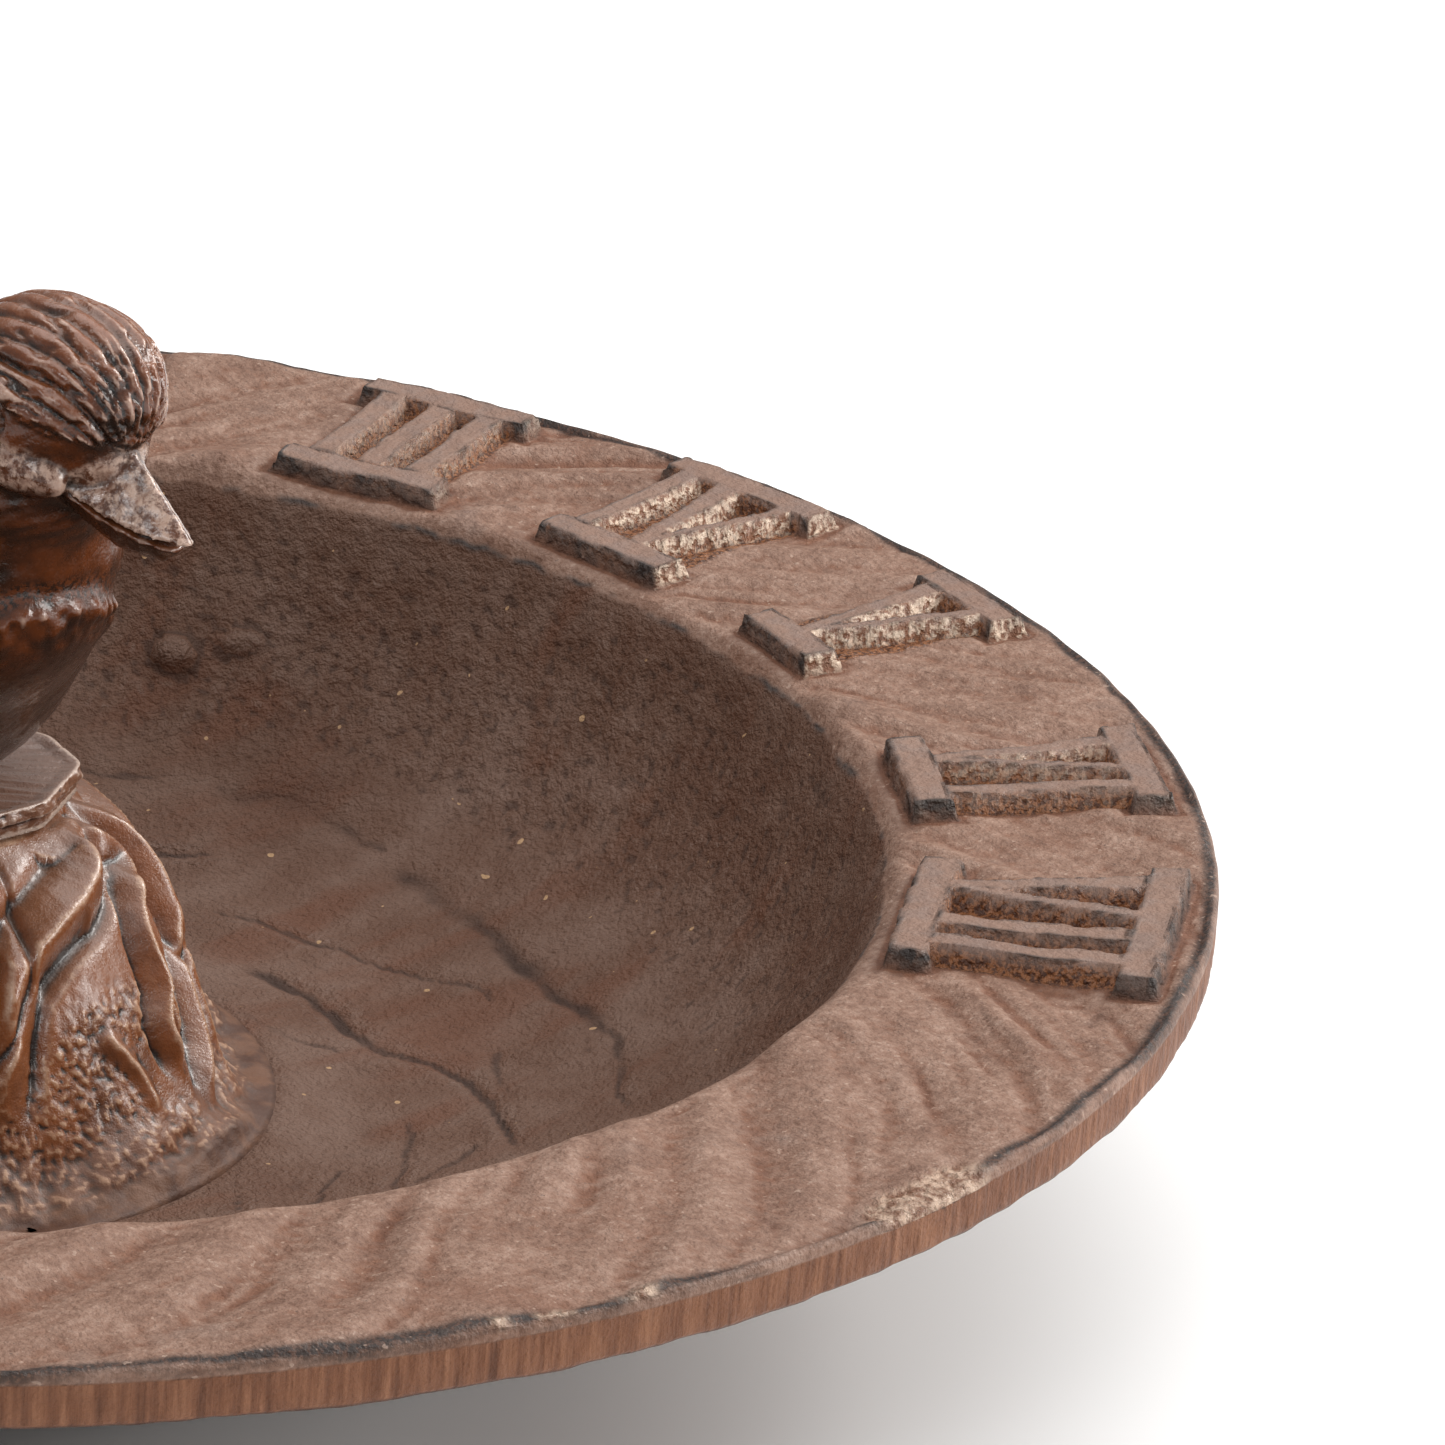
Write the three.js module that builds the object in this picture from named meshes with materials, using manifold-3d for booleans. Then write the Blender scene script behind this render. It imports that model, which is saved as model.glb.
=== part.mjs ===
// Garden sundial with a shallow water dish, cast iron.
// Millimetres, +Z up. Origin: centre of the base, on the surface the sundial stands on.
// +Y points at the XII mark (the noon line); hour marks run clockwise seen from above.
import * as THREE from 'three';
import { mergeVertices } from 'three/addons/utils/BufferGeometryUtils.js';
import Module from 'manifold-3d';

// ---- driving dimensions -------------------------------------------------
const RIM_R = 140;            // outer radius of the dial rim
const RIM_Z = 47;             // height of the rim's outer top edge
const RIM_EDGE = 5.7;         // height of the rim's outer wall
const LIP_R = 105.8;          // inner edge of the rim, where the bowl starts
const LIP_DROP = 2;           // the rim top falls this much to the lip
const FLOOR_Z = 10.8;         // bowl floor
const UNDER_Z = 6.6;          // underside of the bowl floor
const SEGMENTS = 72;          // facets around the dish
const NUMERAL_IN = 108, NUMERAL_OUT = 136, NUMERAL_RISE = 2.0;
const BOLT_R = 3.0;           // M6 centre stud
const BOLT_CLEAR_R = 3.5;     // holes the stud turns in
const BOLT_FIT_R = 3.3;       // holes the stud is screwed or fixed in
const BOSS_R = 15, BOSS_Z = 16.5;
const RECESS_R = 11.5, RECESS_Z = 12.2;
const FOOT_R = 9, FOOT_RING_R = 52, FOOT_Z = 2.3;
const PAD_R = 8, PAD_Z = 2.0, PAD_STEM_R = 2.2, PAD_HOLE_R = 2.5;
const GAP = 0.3;
const SLAB_Z0 = 44.6, SLAB_Z1 = 47.6;
const BIRD_Z0 = SLAB_Z1 + GAP;

// ---- materials ----------------------------------------------------------
const iron = (name, color, roughness) => new THREE.MeshStandardMaterial({ name, color, roughness, metalness: 0.35 });
const M = {
  dish: iron('dish_iron', 0x7a5646, 0.62),
  stump: iron('stump_iron', 0x54382b, 0.42),
  slab: iron('slab_iron', 0x5f4132, 0.42),
  bird: iron('bird_iron', 0x5a3520, 0.36),
  steel: new THREE.MeshStandardMaterial({ name: 'zinc_steel', color: 0x9a9c9e, roughness: 0.35, metalness: 0.9 }),
  rubber: new THREE.MeshStandardMaterial({ name: 'black_rubber', color: 0x1c1c1c, roughness: 0.85, metalness: 0 }),
};

// ---- solids -------------------------------------------------------------
const wasm = await Module();
wasm.setup();

function bare(geometry) {
  const g = geometry.clone();
  g.deleteAttribute('normal');
  g.deleteAttribute('uv');
  return mergeVertices(g, 1e-4);
}
function solid(geometry) {
  const g = bare(geometry);
  const p = g.attributes.position, index = g.index;
  return new wasm.Manifold(new wasm.Mesh({
    numProp: 3,
    vertProperties: new Float32Array(p.array),
    triVerts: new Uint32Array(index.array),
  }));
}
function geometryOf(manifold) {
  const m = manifold.getMesh();
  const n = m.numProp, count = m.vertProperties.length / n;
  const xyz = new Float32Array(count * 3);
  for (let i = 0; i < count; i++) for (let k = 0; k < 3; k++) xyz[3 * i + k] = m.vertProperties[n * i + k];
  const g = new THREE.BufferGeometry();
  g.setAttribute('position', new THREE.BufferAttribute(xyz, 3));
  g.setIndex(new THREE.BufferAttribute(new Uint32Array(m.triVerts), 1));
  return g;
}
// A closed profile of [radius, height] points, turned about Z.
function turned(points, segments) {
  const area = points.reduce((sum, [r, z], i) => {
    const [r2, z2] = points[(i + 1) % points.length];
    return sum + r * z2 - r2 * z;
  }, 0);
  const run = area > 0 ? points : [...points].reverse();   // upwards on the outside, so the faces point out
  const g = new THREE.LatheGeometry(run.map(([r, z]) => new THREE.Vector2(r, z)), segments);
  g.rotateX(Math.PI / 2);   // lathe axis Y becomes Z
  return g;
}
function rod(r, z0, z1, segments = 24, x = 0, y = 0) {
  const g = new THREE.CylinderGeometry(r, r, z1 - z0, segments);
  g.rotateX(Math.PI / 2);
  g.translate(x, y, (z0 + z1) / 2);
  return g;
}
function ring(rIn, rOut, z0, z1, segments = 32) {
  return turned([[rIn, z0], [rOut, z0], [rOut, z1], [rIn, z1], [rIn, z0]], segments);
}
function ellipsoid(rx, ry, rz, { at = [0, 0, 0], turn = [0, 0, 0], w = 24, h = 16 } = {}) {
  const g = new THREE.SphereGeometry(1, w, h);
  g.rotateX(Math.PI / 2);
  g.scale(rx, ry, rz);
  const m = new THREE.Matrix4().makeRotationFromEuler(new THREE.Euler(...turn.map((d) => d * Math.PI / 180)));
  g.applyMatrix4(m);
  g.translate(...at);
  return g;
}
function prism(points, z0, z1) {
  const s = new THREE.Shape(points.map(([x, y]) => new THREE.Vector2(x, y)));
  const g = new THREE.ExtrudeGeometry(s, { depth: z1 - z0, bevelEnabled: false, steps: 1 });
  g.translate(0, 0, z0);
  return g;
}

// ---- dish: bowl, dial rim, three feet and a locating boss, one casting ---
const bowl = [
  // inside, from the stud hole outwards
  [BOLT_CLEAR_R, BOSS_Z], [BOSS_R, BOSS_Z], [BOSS_R + 0.6, FLOOR_Z], [50, 11.0], [65, 12.5], [78, 16.0],
  [88, 21.0], [95, 27.0], [100, 34.0], [103.5, 41.0], [LIP_R, RIM_Z - LIP_DROP],
  // rim top, outer wall and underside
  [122, RIM_Z - 1.1], [RIM_R, RIM_Z], [RIM_R, RIM_Z - RIM_EDGE], [112, 40.2], [107.5, 37.5],
  // outside of the bowl, back to the middle
  [104, 31.0], [98.5, 23.5], [91, 16.8], [80, 11.6], [66, 8.0], [50, UNDER_Z],
  [RECESS_R, UNDER_Z], [RECESS_R, RECESS_Z], [BOLT_CLEAR_R, RECESS_Z],
];
bowl.push(bowl[0]);
let dish = solid(turned(bowl, SEGMENTS));
const footAngles = [90, 210, 330];
for (const a of footAngles) {
  const x = FOOT_RING_R * Math.cos(a * Math.PI / 180), y = FOOT_RING_R * Math.sin(a * Math.PI / 180);
  dish = dish.add(solid(rod(FOOT_R, FOOT_Z, 9.0, 24, x, y)));
  dish = dish.subtract(solid(rod(PAD_HOLE_R, FOOT_Z - 1, 6.3, 16, x, y)));
}

// Hour numerals, raised on the rim. Tops point outwards, so they read from the middle.
// [text, degrees clockwise from noon, width at the foot, width at the head]
const HOURS = [
  ['XII', 0, 27, 31], ['I', 20, 10, 12], ['II', 40, 15, 18], ['III', 60.2, 21, 22], ['IV', 78.6, 19, 24],
  ['V', 95.8, 14, 17], ['VI', 117.1, 18.5, 21], ['VII', 136.1, 25, 31],
  ['XI', -20, 21, 24], ['X', -40, 15, 18], ['IX', -60.2, 21, 24], ['VIII', -78.6, 27, 32],
  ['VII', -95.8, 22, 26], ['VI', -117.1, 18.5, 21], ['V', -136.1, 14, 17],
];
const SERIF = 3.6;                       // serif bar depth
const UNITS = { I: 1.0, V: 2.35, X: 2.35 };
function strokes(text) {
  // Each stroke is [foot centre, head centre, thickness] in stroke units across the numeral.
  const out = [];
  let u = 0;
  for (const c of text) {
    const w = UNITS[c];
    if (c === 'I') out.push([u + 0.5, u + 0.5, 0.62]);
    if (c === 'V') out.push([u + w / 2, u + 0.40, 0.62], [u + w / 2, u + w - 0.40, 0.48]);
    if (c === 'X') out.push([u + w - 0.45, u + 0.45, 0.62], [u + 0.45, u + w - 0.45, 0.48]);
    u += w;
  }
  return [out, u];
}
for (const [text, clockwise, footW, headW] of HOURS) {
  const [lines, units] = strokes(text);
  const height = NUMERAL_OUT - NUMERAL_IN, mid = (NUMERAL_IN + NUMERAL_OUT) / 2;
  const h = height / 2, k = h - SERIF;
  const width = (v) => footW + (headW - footW) * (v + h) / height;
  const bar = (v0, v1) => [[-width(v0) / 2, v0], [width(v0) / 2, v0], [width(v1) / 2, v1], [-width(v1) / 2, v1]];
  const across = (u, v) => (u / units - 0.5) * (width(v) - 2);
  const pieces = [bar(-h, -k), bar(k, h)];
  for (const [foot, head, t] of lines) {
    const v = k + 0.4;
    pieces.push([
      [across(foot - t / 2, -v), -v], [across(foot + t / 2, -v), -v],
      [across(head + t / 2, v), v], [across(head - t / 2, v), v],
    ]);
  }
  const angle = clockwise * Math.PI / 180;
  for (const p of pieces) {
    const g = prism(p, RIM_Z - 3.5, RIM_Z - 0.9 + NUMERAL_RISE);
    g.translate(0, mid, 0);
    g.rotateZ(-angle);
    dish = dish.add(solid(g));
  }
}

// ---- stump: hollow-footed pedestal with bark folds -----------------------
const STUMP_PROFILE = [[11.15, 42.0], [12.4, 39.2], [14.5, 36.2], [18.0, 33.9], [24.0, 31.6], [29.0, 29.8], [34.0, 27.3],
  [37.5, 24.9], [41.0, 22.0], [44.3, 17.6]];   // [height, mean radius]; the roots flare at the foot
function stumpRadius(z, angle) {
  let i = 0;
  while (i < STUMP_PROFILE.length - 2 && z > STUMP_PROFILE[i + 1][0]) i++;
  const [za, ra] = STUMP_PROFILE[i], [zb, rb] = STUMP_PROFILE[i + 1];
  const base = ra + (rb - ra) * THREE.MathUtils.clamp((z - za) / (zb - za), 0, 1);
  const t = THREE.MathUtils.clamp((z - 11) / 33.4, 0, 1);
  const folds = 0.6 * Math.sin(5 * angle + 0.7) + 0.5 * Math.sin(8 * angle + 2.1 + 1.2 * t) + 0.3 * Math.sin(13 * angle + 4.0);
  return base + folds;
}
function barkBody() {
  const z0 = FLOOR_Z + 0.35, z1 = SLAB_Z0 - GAP;
  const levels = [z0, 12.4, 14.5, 18, 24, 29, 34, 37.5, 41, z1];
  const profile = [[0, z0], ...levels.map((z) => [10, z]), [0, z1]];
  const g = bare(turned(profile, 40));
  const p = g.attributes.position;
  for (let i = 0; i < p.count; i++) {
    const x = p.getX(i), y = p.getY(i), z = p.getZ(i);
    if (Math.hypot(x, y) < 1) continue;
    const a = Math.atan2(y, x);
    const r = stumpRadius(z, a);
    p.setXY(i, r * Math.cos(a), r * Math.sin(a));
  }
  return g;
}
let stump = solid(barkBody());
stump = stump.subtract(solid(rod(BOSS_R + 0.6 + GAP + 0.2, 0, 18.3, 48)));
stump = stump.subtract(solid(rod(BOLT_CLEAR_R, 0, 60, 24)));

// Rubber ring that seals the stud hole on top of the boss.
const gasket = ring(4.0, 14.0, BOSS_Z + GAP, 18.0, 40);

// ---- perch slab: flat split stone under the bird --------------------------
const SLAB_OUTLINE = [[18.4, -9.6], [19.4, -1.0], [13.5, 8.5], [6.0, 15.5], [-4.5, 17.2], [-13.0, 12.0], [-18.0, 4.0],
  [-17.2, -7.0], [-10.0, -15.4], [-1.0, -18.6], [9.0, -17.4]];
let slab = solid(prism(SLAB_OUTLINE, SLAB_Z0, SLAB_Z1));
slab = slab.subtract(solid(rod(BOLT_FIT_R, SLAB_Z0 - 2, SLAB_Z1 + 2, 24)));

// ---- bird: solid casting, screwed to the centre stud ----------------------
const BODY = [0, -2.5, 70], HEAD = [2.5, -25.3, 95.7], HEAD_R = 11.1;
const HEAD_TURN = 15;      // the head looks this far to the bird's left
let bird = solid(ellipsoid(20.6, 25.4, 19.8, { at: BODY, turn: [-40, 0, 0], w: 24, h: 16 }));
bird = bird.add(solid(ellipsoid(HEAD_R, HEAD_R + 0.6, HEAD_R, { at: HEAD, w: 20, h: 14 })));
bird = bird.add(solid(ellipsoid(13.5, 17, 13.5, { at: [1.5, -17.5, 87], turn: [-50, 0, 0], w: 18, h: 10 })));
{ // beak: a short cone, dipping
  const g = new THREE.ConeGeometry(5.6, 19, 12);
  g.scale(1.0, 1, 0.85);
  g.rotateX(Math.PI);                         // tip along -Y
  g.rotateX(28 * Math.PI / 180);
  g.rotateZ(HEAD_TURN * Math.PI / 180);
  g.translate(HEAD[0] + 3.9, HEAD[1] - 14.2, HEAD[2] - 6.4);
  bird = bird.add(solid(g));
}
for (const side of [-1, 1]) { // folded wings and the thighs
  bird = bird.add(solid(ellipsoid(5.2, 24, 12, { at: [side * 16.2, 8.5, 67.5], turn: [-33, side * 8, side * 10], w: 14, h: 12 })));
  bird = bird.add(solid(ellipsoid(6.2, 8.0, 7.0, { at: [side * 6.2, -1.8, 53.5], w: 14, h: 10 })));
}
{ // tail: a flat fan, sloping down behind
  const g = prism([[-7, 0], [7, 0], [9.5, 40], [6, 43], [-6, 43], [-9.5, 40]], -2.1, 2.1);
  g.rotateX(-26 * Math.PI / 180);
  g.translate(0, 14, 62);
  bird = bird.add(solid(g));
}
for (const side of [-1, 1]) for (const [dx, dy, len] of [[-2.2, -3.6, 4.4], [0.2, -4.2, 4.6], [2.6, -3.6, 4.2]]) { // toes
  bird = bird.add(solid(ellipsoid(1.5, len, 1.5, { at: [side * 5.4 + dx, dy, BIRD_Z0 + 1.3], turn: [0, 0, -dx * 5], w: 8, h: 6 })));
}
// flat seat where the bird stands on the slab
bird = bird.subtract(solid(rod(60, 0, BIRD_Z0, 32)));
bird = bird.subtract(solid(rod(BOLT_FIT_R, 0, 62.3, 24)));

// ---- fasteners -------------------------------------------------------------
const stud = rod(BOLT_R, 2.8, 62.0, 24);
const sealWasher = ring(BOLT_CLEAR_R, 9.0, 10.6, RECESS_Z - GAP, 32);
const washer = ring(BOLT_CLEAR_R, 9.0, 9.1, 10.3, 32);
let nut = solid(rod(5.0 / Math.cos(Math.PI / 6), 3.8, 8.8, 6));
nut = nut.subtract(solid(rod(BOLT_FIT_R, 0, 12, 24)));

// ---- foot pads ---------------------------------------------------------------
function pad(a) {
  const x = FOOT_RING_R * Math.cos(a * Math.PI / 180), y = FOOT_RING_R * Math.sin(a * Math.PI / 180);
  const g = turned([[0, 0], [PAD_R - 0.6, 0], [PAD_R, 0.6], [PAD_R, PAD_Z], [PAD_STEM_R, PAD_Z], [PAD_STEM_R, 5.9], [0, 5.9]], 24);
  g.translate(x, y, 0);
  return g;
}

// ---- scene graph ----------------------------------------------------------------
const sundial = new THREE.Group();
const fixed = new THREE.Group(), figure = new THREE.Group();
sundial.add(fixed, figure);
function put(group, name, geometry, material) {
  const mesh = new THREE.Mesh(geometry, material);
  mesh.name = name;
  group.add(mesh);
}
put(fixed, 'dish', geometryOf(dish), M.dish);
put(fixed, 'stump', geometryOf(stump), M.stump);
put(fixed, 'stump_gasket', gasket, M.rubber);
put(fixed, 'seal_washer', sealWasher, M.rubber.clone());
footAngles.forEach((a, i) => put(fixed, `foot_pad_${i + 1}`, pad(a), M.rubber.clone()));
put(figure, 'perch_slab', geometryOf(slab), M.slab);
put(figure, 'bird', geometryOf(bird), M.bird);
put(figure, 'centre_stud', stud, M.steel);
put(figure, 'stud_washer', washer, M.steel.clone());
put(figure, 'stud_nut', geometryOf(nut), M.steel.clone());

export default sundial;
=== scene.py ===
import math

import bpy
import numpy as np
import openvdb
from mathutils import Matrix, Vector


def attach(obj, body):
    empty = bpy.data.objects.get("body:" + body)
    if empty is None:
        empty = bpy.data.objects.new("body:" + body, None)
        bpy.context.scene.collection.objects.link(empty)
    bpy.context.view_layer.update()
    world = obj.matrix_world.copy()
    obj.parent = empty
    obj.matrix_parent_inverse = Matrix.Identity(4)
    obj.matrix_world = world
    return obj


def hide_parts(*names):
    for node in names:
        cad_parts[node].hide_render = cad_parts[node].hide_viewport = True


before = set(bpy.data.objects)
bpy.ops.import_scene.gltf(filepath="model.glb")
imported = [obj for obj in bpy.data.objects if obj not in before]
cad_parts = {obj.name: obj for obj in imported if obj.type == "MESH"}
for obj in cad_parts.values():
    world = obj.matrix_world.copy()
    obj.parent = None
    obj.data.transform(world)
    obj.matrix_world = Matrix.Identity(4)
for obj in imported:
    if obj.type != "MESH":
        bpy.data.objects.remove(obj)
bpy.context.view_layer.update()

# ------------------------------------------------------------------ noise
_rng = np.random.default_rng(20)
_PERM = _rng.permutation(4096)
_GRAD = _rng.normal(size=(4096, 3))
_GRAD = (_GRAD / np.linalg.norm(_GRAD, axis=1, keepdims=True)).astype(np.float32)


def noise(x, y, z=0.0, seed=0, wrap=None):
    """Gradient noise, about -1 to 1. wrap makes it repeat along x after that many cells."""
    x, y, z = np.broadcast_arrays(np.asarray(x, np.float32), np.asarray(y, np.float32), np.asarray(z, np.float32))
    xi, yi, zi = np.floor(x).astype(np.int32), np.floor(y).astype(np.int32), np.floor(z).astype(np.int32)
    fx, fy, fz = x - xi, y - yi, z - zi
    u, v, w = (f * f * f * (f * (f * 6 - 15) + 10) for f in (fx, fy, fz))

    def corner(a, b, c):
        cx = xi + a
        if wrap:
            cx = cx % wrap
        h = _PERM[(cx + 37 * seed) & 4095]
        h = _PERM[(h + yi + b) & 4095]
        h = _PERM[(h + zi + c) & 4095]
        g = _GRAD[h]
        return g[..., 0] * (fx - a) + g[..., 1] * (fy - b) + g[..., 2] * (fz - c)

    def mix(p, q, t):
        return p + (q - p) * t

    lo = mix(mix(corner(0, 0, 0), corner(1, 0, 0), u), mix(corner(0, 1, 0), corner(1, 1, 0), u), v)
    hi = mix(mix(corner(0, 0, 1), corner(1, 0, 1), u), mix(corner(0, 1, 1), corner(1, 1, 1), u), v)
    return mix(lo, hi, w) * 1.55


def fbm(x, y, z=0.0, octaves=3, seed=0, gain=0.5):
    out, amp, k = 0.0, 1.0, 1.0
    for i in range(octaves):
        out = out + amp * noise(np.asarray(x) * k, np.asarray(y) * k, np.asarray(z) * k, seed + 5 * i)
        amp *= gain
        k *= 2.03
    return out


def smooth(a, b, x):
    t = np.clip((x - a) / (b - a), 0, 1)
    return t * t * (3 - 2 * t)


# ------------------------------------------------------------------ meshes
def mesh_object(name, verts, quads=None, tris=None, attrs=None):
    quads = np.zeros((0, 4), np.int32) if quads is None else np.asarray(quads, np.int32)
    tris = np.zeros((0, 3), np.int32) if tris is None else np.asarray(tris, np.int32)
    me = bpy.data.meshes.new(name)
    me.vertices.add(len(verts))
    me.vertices.foreach_set("co", (np.asarray(verts, np.float64) * 0.001).astype(np.float32).ravel())
    loops = np.concatenate([quads.ravel(), tris.ravel()]).astype(np.int32)
    me.loops.add(len(loops))
    me.loops.foreach_set("vertex_index", loops)
    me.polygons.add(len(quads) + len(tris))
    starts = np.concatenate([np.arange(len(quads)) * 4, len(quads) * 4 + np.arange(len(tris)) * 3]).astype(np.int32)
    me.polygons.foreach_set("loop_start", starts)
    me.polygons.foreach_set("use_smooth", np.ones(len(starts), bool))
    me.update(calc_edges=True)
    me.validate()
    for key, values in (attrs or {}).items():
        a = me.attributes.new(key, "FLOAT", "POINT")
        a.data.foreach_set("value", np.asarray(values, np.float32))
    ob = bpy.data.objects.new(name, me)
    bpy.context.scene.collection.objects.link(ob)
    return ob


def stitch(rows, loop=True):
    """rows: closed rings of points, each ring with the same count as the next or half or twice of it."""
    sizes = [len(r) for r in rows]
    start = np.concatenate([[0], np.cumsum(sizes)])
    quads, tris = [], []
    for k in range(len(rows) if loop else len(rows) - 1):
        j = (k + 1) % len(rows)
        a0, b0, na, nb = start[k], start[j], sizes[k], sizes[j]
        if na == nb:
            i = np.arange(na)
            i2 = (i + 1) % na
            quads.append(np.stack([a0 + i, b0 + i, b0 + i2, a0 + i2], 1))
        elif na == 2 * nb:
            i = np.arange(nb)
            p0, p1, p2, q0, q1 = a0 + 2 * i, a0 + 2 * i + 1, a0 + (2 * i + 2) % na, b0 + i, b0 + (i + 1) % nb
            tris += [np.stack([p0, q0, p1], 1), np.stack([p1, q0, q1], 1), np.stack([p1, q1, p2], 1)]
        elif nb == 2 * na:
            i = np.arange(na)
            q0, q1, q2, p0, p1 = b0 + 2 * i, b0 + 2 * i + 1, b0 + (2 * i + 2) % nb, a0 + i, a0 + (i + 1) % na
            tris += [np.stack([p0, q0, q1], 1), np.stack([p0, q1, p1], 1), np.stack([p1, q1, q2], 1)]
        else:
            raise ValueError((na, nb))
    return np.concatenate(rows), np.concatenate(quads), np.concatenate(tris) if tris else None


def caps(rows):
    """Rings joined one after another, with a fan of triangles closing each end."""
    v, q, t = stitch(rows, loop=False)
    n0, n1 = len(rows[0]), len(rows[-1])
    ends = np.array([rows[0].mean(0), rows[-1].mean(0)])
    c0, c1 = len(v), len(v) + 1
    i = np.arange(n0)
    first = np.stack([np.full(n0, c0), i, (i + 1) % n0], 1)
    base = len(v) - n1
    i = np.arange(n1)
    last = np.stack([np.full(n1, c1), base + (i + 1) % n1, base + i], 1)
    t = np.concatenate([x for x in (t, first, last) if x is not None])
    return np.concatenate([v, ends]), q, t


def edges_of(quads, tris):
    e = []
    if quads is not None and len(quads):
        e += [quads[:, [0, 1]], quads[:, [1, 2]], quads[:, [2, 3]], quads[:, [3, 0]]]
    if tris is not None and len(tris):
        e += [tris[:, [0, 1]], tris[:, [1, 2]], tris[:, [2, 0]]]
    e = np.sort(np.concatenate(e), 1)
    key = np.unique(e[:, 0].astype(np.int64) * (e.max() + 1) + e[:, 1])
    return np.stack([key // (e.max() + 1), key % (e.max() + 1)], 1)


def spread(values, edges, n, times=1):
    """The mean of each point's neighbours, repeated."""
    a, b = edges[:, 0], edges[:, 1]
    count = np.bincount(a, minlength=n) + np.bincount(b, minlength=n)
    out = values
    for _ in range(times):
        if out.ndim == 1:
            out = (np.bincount(a, out[b], n) + np.bincount(b, out[a], n)) / count
        else:
            out = np.stack([(np.bincount(a, c[b], n) + np.bincount(b, c[a], n)) / count for c in out.T], 1)
    return out


def normals_of(v, quads, tris):
    n = np.zeros_like(v)
    parts = []
    if quads is not None and len(quads):
        c = np.cross(v[quads[:, 2]] - v[quads[:, 0]], v[quads[:, 3]] - v[quads[:, 1]])
        parts += [(quads[:, k], c) for k in range(4)]
    if tris is not None and len(tris):
        c = np.cross(v[tris[:, 1]] - v[tris[:, 0]], v[tris[:, 2]] - v[tris[:, 0]])
        parts += [(tris[:, k], c) for k in range(3)]
    for idx, c in parts:
        for k in range(3):
            n[:, k] += np.bincount(idx, c[:, k], len(v))
    return n / np.maximum(np.linalg.norm(n, axis=1, keepdims=True), 1e-9)


def relief(v, quads, tris, times):
    """Height of each point above its smoothed surroundings: ridges positive, hollows negative."""
    e = edges_of(quads, tris)
    n = normals_of(v, quads, tris)
    far = spread(v, e, len(v), times)
    return ((v - far) * n).sum(1)


def along(points, step):
    """Points of a smooth curve through the given ones, about step apart."""
    p = np.asarray(points, float)
    ext = np.vstack([2 * p[0] - p[1], p, 2 * p[-1] - p[-2]])
    out = []
    for i in range(1, len(ext) - 2):
        p0, p1, p2, p3 = ext[i - 1 : i + 3]
        n = max(2, int(np.linalg.norm(p2 - p1) / step * 4))
        t = np.linspace(0, 1, n, endpoint=False)[:, None]
        # centripetal-like damping keeps tight corners from overshooting
        m1, m2 = (p2 - p0) * 0.5, (p3 - p1) * 0.5
        limit = np.linalg.norm(p2 - p1)
        m1 *= min(1.0, limit / max(np.linalg.norm(m1), 1e-9))
        m2 *= min(1.0, limit / max(np.linalg.norm(m2), 1e-9))
        h = 2 * t**3 - 3 * t**2 + 1, t**3 - 2 * t**2 + t, -2 * t**3 + 3 * t**2, t**3 - t**2
        out.append(h[0] * p1 + h[1] * m1 + h[2] * p2 + h[3] * m2)
    dense = np.vstack([*out, p[-1:]])
    d = np.concatenate([[0], np.cumsum(np.linalg.norm(np.diff(dense, axis=0), axis=1))])
    n = max(2, int(round(d[-1] / step)) + 1)
    s = np.linspace(0, d[-1], n)
    return np.stack([np.interp(s, d, dense[:, k]) for k in range(dense.shape[1])], 1)


def segment_distance(x, y, line):
    """Distance in the plane to a polyline, and how far along it (0 to 1) the nearest point is."""
    best = np.full(x.shape, 1e9)
    where = np.zeros(x.shape)
    line = np.asarray(line, float)
    length = np.concatenate([[0], np.cumsum(np.linalg.norm(np.diff(line, axis=0), axis=1))])
    for i in range(len(line) - 1):
        a, b = line[i], line[i + 1]
        ab = b - a
        t = np.clip(((x - a[0]) * ab[0] + (y - a[1]) * ab[1]) / (ab @ ab), 0, 1)
        d = np.hypot(x - a[0] - t * ab[0], y - a[1] - t * ab[1])
        near = d < best
        best = np.where(near, d, best)
        where = np.where(near, (length[i] + t * (length[i + 1] - length[i])) / length[-1], where)
    return best, where


# ------------------------------------------------------------------ hour numerals
RIM_R, RIM_Z, LIP_R = 140.0, 47.0, 105.8
NUM_IN, NUM_OUT, NUM_MID, RISE = 108.0, 136.0, 122.0, 2.0
HOURS = [
    ("XII", 0, 27, 31), ("I", 20, 10, 12), ("II", 40, 15, 18), ("III", 60.2, 21, 22), ("IV", 78.6, 19, 24),
    ("V", 95.8, 14, 17), ("VI", 117.1, 18.5, 21), ("VII", 136.1, 25, 31),
    ("XI", -20, 21, 24), ("X", -40, 15, 18), ("IX", -60.2, 21, 24), ("VIII", -78.6, 27, 32),
    ("VII", -95.8, 22, 26), ("VI", -117.1, 18.5, 21), ("V", -136.1, 14, 17),
]
UNITS = {"I": 1.0, "V": 2.35, "X": 2.35}
SERIF = 4.4


def strokes(text):
    out, u = [], 0.0
    for c in text:
        w = UNITS[c]
        if c == "I":
            out.append((u + 0.5, u + 0.5, 0.60, 0.60))
        if c == "V":
            out += [(u + w / 2, u + 0.46, 0.50, 0.66), (u + w / 2, u + w - 0.42, 0.40, 0.44)]
        if c == "X":
            out += [(u + w - 0.48, u + 0.48, 0.62, 0.62), (u + 0.42, u + w - 0.42, 0.42, 0.42)]
        u += w
    return out, u


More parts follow.
